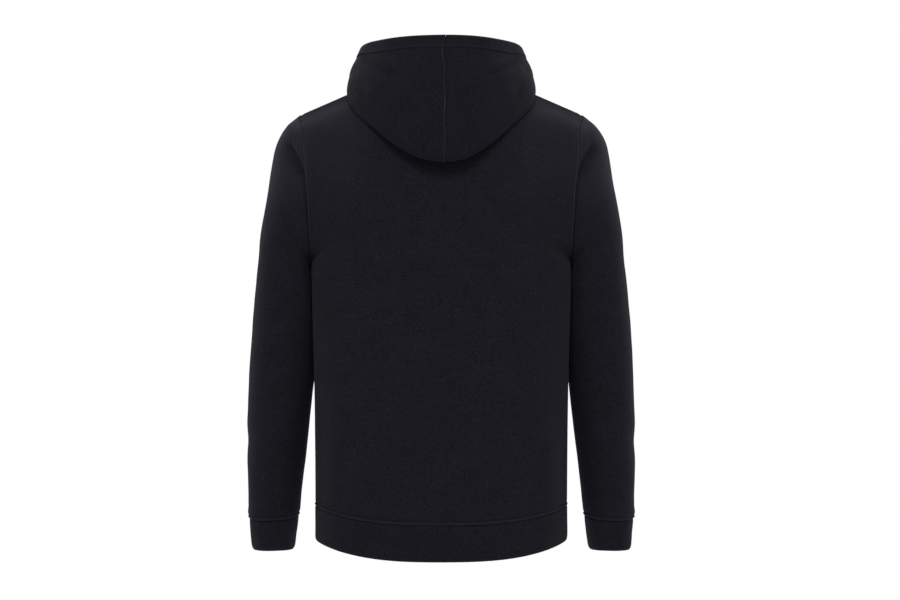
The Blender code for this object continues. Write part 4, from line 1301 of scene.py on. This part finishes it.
# %% Hood sizes
HOOD_LINES = {
    "rim": table("angle radius z", (0, 108, 56), (30, 108, 55.5), (60, 110.8, 53.4), (90, 119.3, 46.4),
                 (115, 109, 22), (140, 94, -20), (162, 90, -54), (180, 88, -70)),
    "casing": table("angle radius z", (0, 114, 37), (30, 115, 36), (60, 118.5, 33.6), (90, 126.9, 31.4),
                    (115, 120, 7), (140, 105, -34), (162, 96, -65), (180, 86, -78.5)),
    "belly": table("angle radius z", (0, 143, -50), (30, 140, -36), (60, 139, -12), (90, 141.2, -4),
                   (115, 135, -24), (140, 115, -53), (162, 98, -76), (180, 84.5, -83)),
    "bottom": table("angle radius z", (0, 138.5, -131), (9, 138.5, -128.8), (22, 138, -117), (45, 137, -81),
                    (70, 139.5, -46), (90, 137.6, -24), (115, 128, -37), (140, 113, -66), (162, 96, -85),
                    (180, 83, -87)),
    "under": table("angle radius z", (0, 119, -116), (20, 119, -101), (45, 117, -60), (70, 118, -26),
                   (90, 119, -8), (115, 112, -24), (140, 102, -60), (162, 90, -86), (180, 81.8, -89.5)),
}
NECK_ROLL_OUT, NECK_ROLL_UP = 8.0, 11.0  # the cloth stands up from the neck seam and rolls over
CASING_CLOTH, CASING_PROUD = 4.0, 1.4
CASING_FADE_FROM, CASING_FADE_OVER = 40.0, 100.0  # row lengths over which the turned hem reaches full size
ROLL_FADE_ANGLE, ROLL_FADE_LEAST = 40.0, 0.12  # the roll fades over these last degrees to this share

HOOD_CREASES = table(
    "side from_a from_z to_a to_z bow width depth lip",
    (0, 112, 24, 66, -3, -3, 6, -6.0, 0.2),  # down from the casing on each side
    (0, 112, -20, 132, 12, 2, 6, -6.5, 0.5),  # the side, tucked under the part above it
    (0, 14, -6, -8, -12, 0, 7, -2.0, 0.0),
    (0, 32, -106, 4, -126, 2, 6, -2.6, 0.0),  # the point at the bottom
    (0, 74, -44, 30, -74, 6, 20, -0.9, 0.0),
    (2, 40, 8, -20, -12, 4, 11, -1.8, 0.3),
    (1, 92, -20, 60, -52, 3, 9, -1.8, 0.3),
)
print("hood:", len(HOOD_LINES), "lines round the neck and", len(HOOD_CREASES["side"]), "creases")

# %% [markdown]
# ## The hood's net
#
# For each place round the neck seam, a path goes over the lines in turn, and a smooth curve runs through
# it. The points crowd at the rim and at the stitching of the turned hem, which stands a little proud. Where
# the hidden layer would touch the shoulders it is moved out, as the sleeves are.

# %% Hood net
HEM_STEPS = (0, 0.12, 7), (0.12, 0.82, 8), (0.82, 1, 7)  # across the turned hem
REST_STEPS = (0, 0.02, 8), (0.02, 1, 68)  # from its stitching to the neck seam
HEM_COLUMNS = sum(stretch[2] for stretch in HEM_STEPS)
SEWN_COLUMNS = 6  # next to the neck seam, where the hood isn't moved out


def hood_net(neck):
    """Half of the hood on the +X side: a row for each place round its neck seam, from rim to neck."""
    angles = np.degrees(np.arctan2(neck[:, 0], neck[:, 1]))
    angles[0], angles[-1] = 0, 180
    turn = np.radians(angles)
    lines = []
    for line in HOOD_LINES.values():
        radius, height = (spline(line["angle"], line[name], angles) for name in ("radius", "z"))
        lines.append(np.stack([radius * np.sin(turn), radius * np.cos(turn), height], axis=1))
    out = np.stack([np.sin(turn), np.cos(turn), np.zeros(len(angles))], axis=1)
    fade = np.clip((180 - angles) / ROLL_FADE_ANGLE, ROLL_FADE_LEAST, 1)[:, None]
    lines += [neck + (out * NECK_ROLL_OUT + np.array([0, 0, NECK_ROLL_UP])) * fade, neck]
    rows = []
    for path in np.stack(lines, axis=1):
        run = np.concatenate([[0], np.cumsum(np.linalg.norm(np.diff(path, axis=0), axis=1))])
        dense = spline(run, path, np.linspace(0, run[-1], CURVE_SAMPLES))
        hem = run[1] / run[-1]
        casing = along(dense, hem * steps(*HEM_STEPS))
        rest = along(dense, hem + (1 - hem) * steps(*REST_STEPS))
        rows.append(np.concatenate([casing, rest[1:]]))
    return np.array(rows)


middle = len(columns) // 2
neck_end = middle + NECK_COLUMNS
back_neck = back_net[-1, middle : neck_end + 1]
front_neck = front_net[-1, middle : neck_end + 1][::-1]
neck_seam = np.concatenate([back_neck, front_neck[1:]])
round_shares = steps((0, 0.018, 12), (0.018, 1, 116))
hood = hood_net(along(neck_seam, round_shares))
hood[:, :-SEWN_COLUMNS] = settled(hood[:, :-SEWN_COLUMNS], panels, HOOD_CLEARANCE)
print("hood net:", hood.shape[:2])

# %% [markdown]
# ## The middle seam
#
# The two halves are sewn from forehead to nape, and the allowances are turned to one side, where they lift
# the cloth in a narrow ridge. A hood that is thrown back never lies quite true, so the seam has slipped a
# little to one side and waves as it goes down. Behind it, a tape closes the hairline between the halves.

# %% Hood seam
SEAM_SHIFT = -7.0  # the middle seam has slipped towards the wearer's right
SWING, SWING_AT, SWING_LENGTH = 3.4, 30, 14  # here it swings back towards the middle
SEAM_WAVE, WAVE_RUN = 0.5, 9  # the small waves all down the seam
SHIFT_REACH = 55  # how far to the side the cloth still follows the seam
SEAM_ROWS = 11  # how many rows of the net lie over the turned edges of the middle seam
TAPE_THICKNESS, TAPE_CLEARANCE = 1.0, 1.4
TAPE_COLUMNS = slice(3, -SEWN_COLUMNS)  # short of the rim and of the neck seam
TO_THE_RIGHT = np.array([-1, 1, 1])  # turns places on the left half into places on the right half


def hem_width(net):
    """How wide the turned hem is on each row of the hood."""
    return run_along(net, 1)[:, HEM_COLUMNS]


def shifted(net):
    """The hood with its middle pulled to one side. The cloth follows it less and less away from the seam."""
    moved = net.copy()
    down = run_along(net, 1)
    swing = SWING * np.exp(-(((down - SWING_AT) / SWING_LENGTH) ** 2))
    sway = SEAM_SHIFT + swing + SEAM_WAVE * np.sin(down / WAVE_RUN)
    near = np.exp(-((net[..., 0] / SHIFT_REACH) ** 2)) * (net[..., 1] > 0)
    moved[..., 0] += sway * near * rise(-down, -245, 40)
    return moved


def seam_tape():
    """The turned edges and tape behind the middle seam. It crosses the right half in a few places."""
    left, right = shifted(hood)[:SEAM_ROWS], shifted(hood * TO_THE_RIGHT)[:SEAM_ROWS]
    net = np.concatenate([right[:0:-1], left])[:, TAPE_COLUMNS]
    in_hem = 1 - rise(run_along(net, 1), hem_width(hood)[0], 3.0)
    behind = BODY_CLOTH + (CASING_CLOTH - BODY_CLOTH) * in_hem + TAPE_CLEARANCE
    return cloth_shell("hood_seam_tape", net, outward(net, 1), -behind, 0 * behind, TAPE_THICKNESS,
                       (fleece_loops, fleece_loops))


hood_tape = seam_tape()
print("turned hem:", hem_width(hood)[0].round(1), "mm wide at the middle of the back")

# %% [markdown]
# ## Relief of the hood
#
# The turned hem stands proud of the cloth below it, with a stitched groove between them. The middle seam's
# ridge is on the left half alone, because that is where the allowances lie. The ridge and the top of the
# turned hem are drawn lighter, rubbed and with a painted highlight, the ridge most in two places.

# %% Hood relief
RIDGE_WIDTH, RIDGE_LIFT = 2.6, 1.0
RUBBED_AND_LIT_SPOTS = ((28, 8), (112, 14))  # how far down the middle seam, and half how long
CASING_GROOVE = 0.9  # how deep and how wide the stitched groove below the turned hem is


def hood_relief(net, out, seed, has_ridge):
    """How far each point of a half stands off its net, how much lighter it is drawn (rubbed, and a painted
    highlight), how thick, and how far from the hem's stitching."""
    down, around = run_along(net, 1), run_along(net, 0)
    casing_share = np.clip((down[:, -1:] - CASING_FADE_FROM) / CASING_FADE_OVER, 0, 1)
    to_line = down - hem_width(net)[:, None]
    in_casing = 1 - rise(to_line, -1.2, 1.6)
    lift = creased(net, out, HOOD_CREASES) + soft_waves(net, 48, 0.9, seed)
    lift *= rise(np.minimum(around, down), 2, 14)
    lift += CASING_PROUD * casing_share * in_casing * rise(down, 0, 4)
    lift -= CASING_GROOVE * casing_share * np.exp(-((to_line / CASING_GROOVE) ** 2))
    lift += casing_share * puckers(np.abs(to_line), around, 0.5, seed, reach=7, spacing=8)
    lift += valley(around, 0.9) + puckers(around, down, 0.35, seed + 1, reach=6, spacing=6)
    # the top of the turned hem and the middle seam's ridge are rubbed and get a painted highlight
    worn_and_lit = 0.1 * casing_share * ridge_top(to_line, -3.0, 1.5)
    if has_ridge:
        lift += RIDGE_LIFT * ridge_top(around, RIDGE_WIDTH / 2, RIDGE_WIDTH / 2)
        rubbed_and_lit_most = sum(ridge_top(down, at, length) for at, length in RUBBED_AND_LIT_SPOTS)
        worn_and_lit = worn_and_lit + (0.3 + 0.35 * rubbed_and_lit_most) * ridge_top(around, RIDGE_WIDTH / 2, 1.0)
    wall = BODY_CLOTH + (CASING_CLOTH - BODY_CLOTH) * casing_share * in_casing
    return lift, worn_and_lit, wall, to_line


print("the hood's hem stands", CASING_PROUD, "mm proud, its middle seam", RIDGE_LIFT, "mm")

# %% [markdown]
# ## Both halves
#
# The seam's slip isn't mirrored. So the right half is turned over, shifted and turned back before its shell
# is made, and the shell maker then mirrors it.

# %% Hood shells
for side, mirror, seed in (("left", False, 21), ("right", True, 22)):
    net = shifted(hood * TO_THE_RIGHT) * TO_THE_RIGHT if mirror else shifted(hood)
    out = outward(net, 1)
    lift, worn_and_lit, wall, to_line = hood_relief(net, out, seed, has_ridge=not mirror)
    half_hood = cloth_shell(f"hood_{side}_half", net, out, lift, worn_and_lit, wall, (shaded_hood_face, fleece_loops),
                            fold_from=run_along(net, 1), mirror=mirror)
    turned = (np.swapaxes(part, 0, 1) for part in (net + out * lift[..., None], out, to_line))
    sewn = [stitched(f"hood_{side}_stitches", [seam_line(*turned, 0.0)], mirror)]
    if not mirror:
        sewn.append(hood_tape)
    dress(half_hood, f"hood_{side}", (0.30, 0.34), sewn)

# %% [markdown]
# ## Floor
#
# The floor is far below, as it is under a wearer, and painted a matt white, so it sends a little light back
# up under the hem.

# %% Floor
FLOOR_DROP = 1.45  # from the neck to the floor
FLOOR_RADIUS, FLOOR_SIDES = 3.2, 96
floor_mesh = bpy.data.meshes.new("studio_floor")
turns = np.linspace(0, 2 * np.pi, FLOOR_SIDES, endpoint=False)
edge = [(FLOOR_RADIUS * np.cos(turn), FLOOR_RADIUS * np.sin(turn), -FLOOR_DROP) for turn in turns]
floor_mesh.from_pydata(edge, [], [list(range(len(edge)))])
floor_paint = bpy.data.materials.new("matt_white_paint")
floor_paint.use_nodes = True
paint = floor_paint.node_tree.nodes["Principled BSDF"]
paint.inputs["Base Color"].default_value = linear("ececee")
paint.inputs["Roughness"].default_value = 0.9
floor_mesh.materials.append(floor_paint)
floor = placed("studio_floor", floor_mesh)
print("floor", FLOOR_DROP, "m below the neck")

# %% [markdown]
# ## Surround
#
# Black cloth shows its form only by what it reflects. A bright, even surround gives the base tone and the
# soft dark lines where pieces nearly touch. It works as a white tent does: brighter behind the garment than
# on the camera's side. What the camera sees past the garment is plain white, which a tent lit from outside
# also gives.

# %% Surround
TENT_BEHIND, TENT_BEFORE = 0.5, 0.40  # the tent's light behind the garment and on the camera's side

world = bpy.data.worlds.new("white_surround")
world.use_nodes = True
sky = world.node_tree
seen = add(sky, "ShaderNodeLightPath").outputs["Is Camera Ray"]
way = add(sky, "ShaderNodeSeparateXYZ", Vector=add(sky, "ShaderNodeTexCoord").outputs["Generated"])
tent = add(sky, "ShaderNodeMapRange", Value=way.outputs["Y"], From_Min=-1.0, From_Max=0.3,
           To_Min=TENT_BEHIND, To_Max=TENT_BEFORE)
glow = add(sky, "ShaderNodeMix", {"data_type": "FLOAT"}, Factor=seen, _2=tent.outputs[0], _3=1.0)
sky.nodes["Background"].inputs["Color"].default_value = (1.0, 1.0, 1.0, 1.0)
sky.links.new(glow.outputs[0], sky.nodes["Background"].inputs["Strength"])
bpy.context.scene.world = world
bpy.context.scene.view_settings.view_transform = "Standard"
print("surround:", TENT_BEHIND, "behind,", TENT_BEFORE, "on the camera's side")

# %% [markdown]
# ## Lights
#
# A soft key light hangs above the camera, and a cool one above and behind the garment brings up the
# shoulders. One on each side, behind too, draws a bright edge down the sleeves, and a weak one on each side
# fills the dark side of the folds from the camera's side. Area lights do this best: a lamp that is large
# for its distance makes no hard shadow.

# %% Lights
COOL_TUBE = (0.93, 0.97, 1.0)
CHEST = (0, 0, -0.3)


def soft_light(name, place, size, watts):
    """A rectangular lamp at this place, turned towards the chest."""
    light = bpy.data.lights.new(name, "AREA")
    light.shape = "RECTANGLE"
    light.size, light.size_y = size
    light.energy = watts
    lamp = bpy.data.objects.new(name, light)
    lamp.location = place
    lamp.rotation_euler = (Vector(CHEST) - Vector(place)).to_track_quat("-Z", "Y").to_euler()
    bpy.context.scene.collection.objects.link(lamp)
    return light


soft_light("key", (0, 2.3, 2.0), (1.6, 1.0), 36)
soft_light("rear", (0, -1.8, 2.2), (2.4, 1.0), 44).color = COOL_TUBE
for side in (-1, 1):
    soft_light("edge", (side * 2.2, -1.6, 0.3), (1.2, 2.2), 16)
    soft_light("fill", (side * 2.6, 0.7, 0.3), (1.2, 2.2), 5)

# %% [markdown]
# ## Sizes
#
# A dressed garment should be no larger than its solids, apart from the height of a crease or a seam.
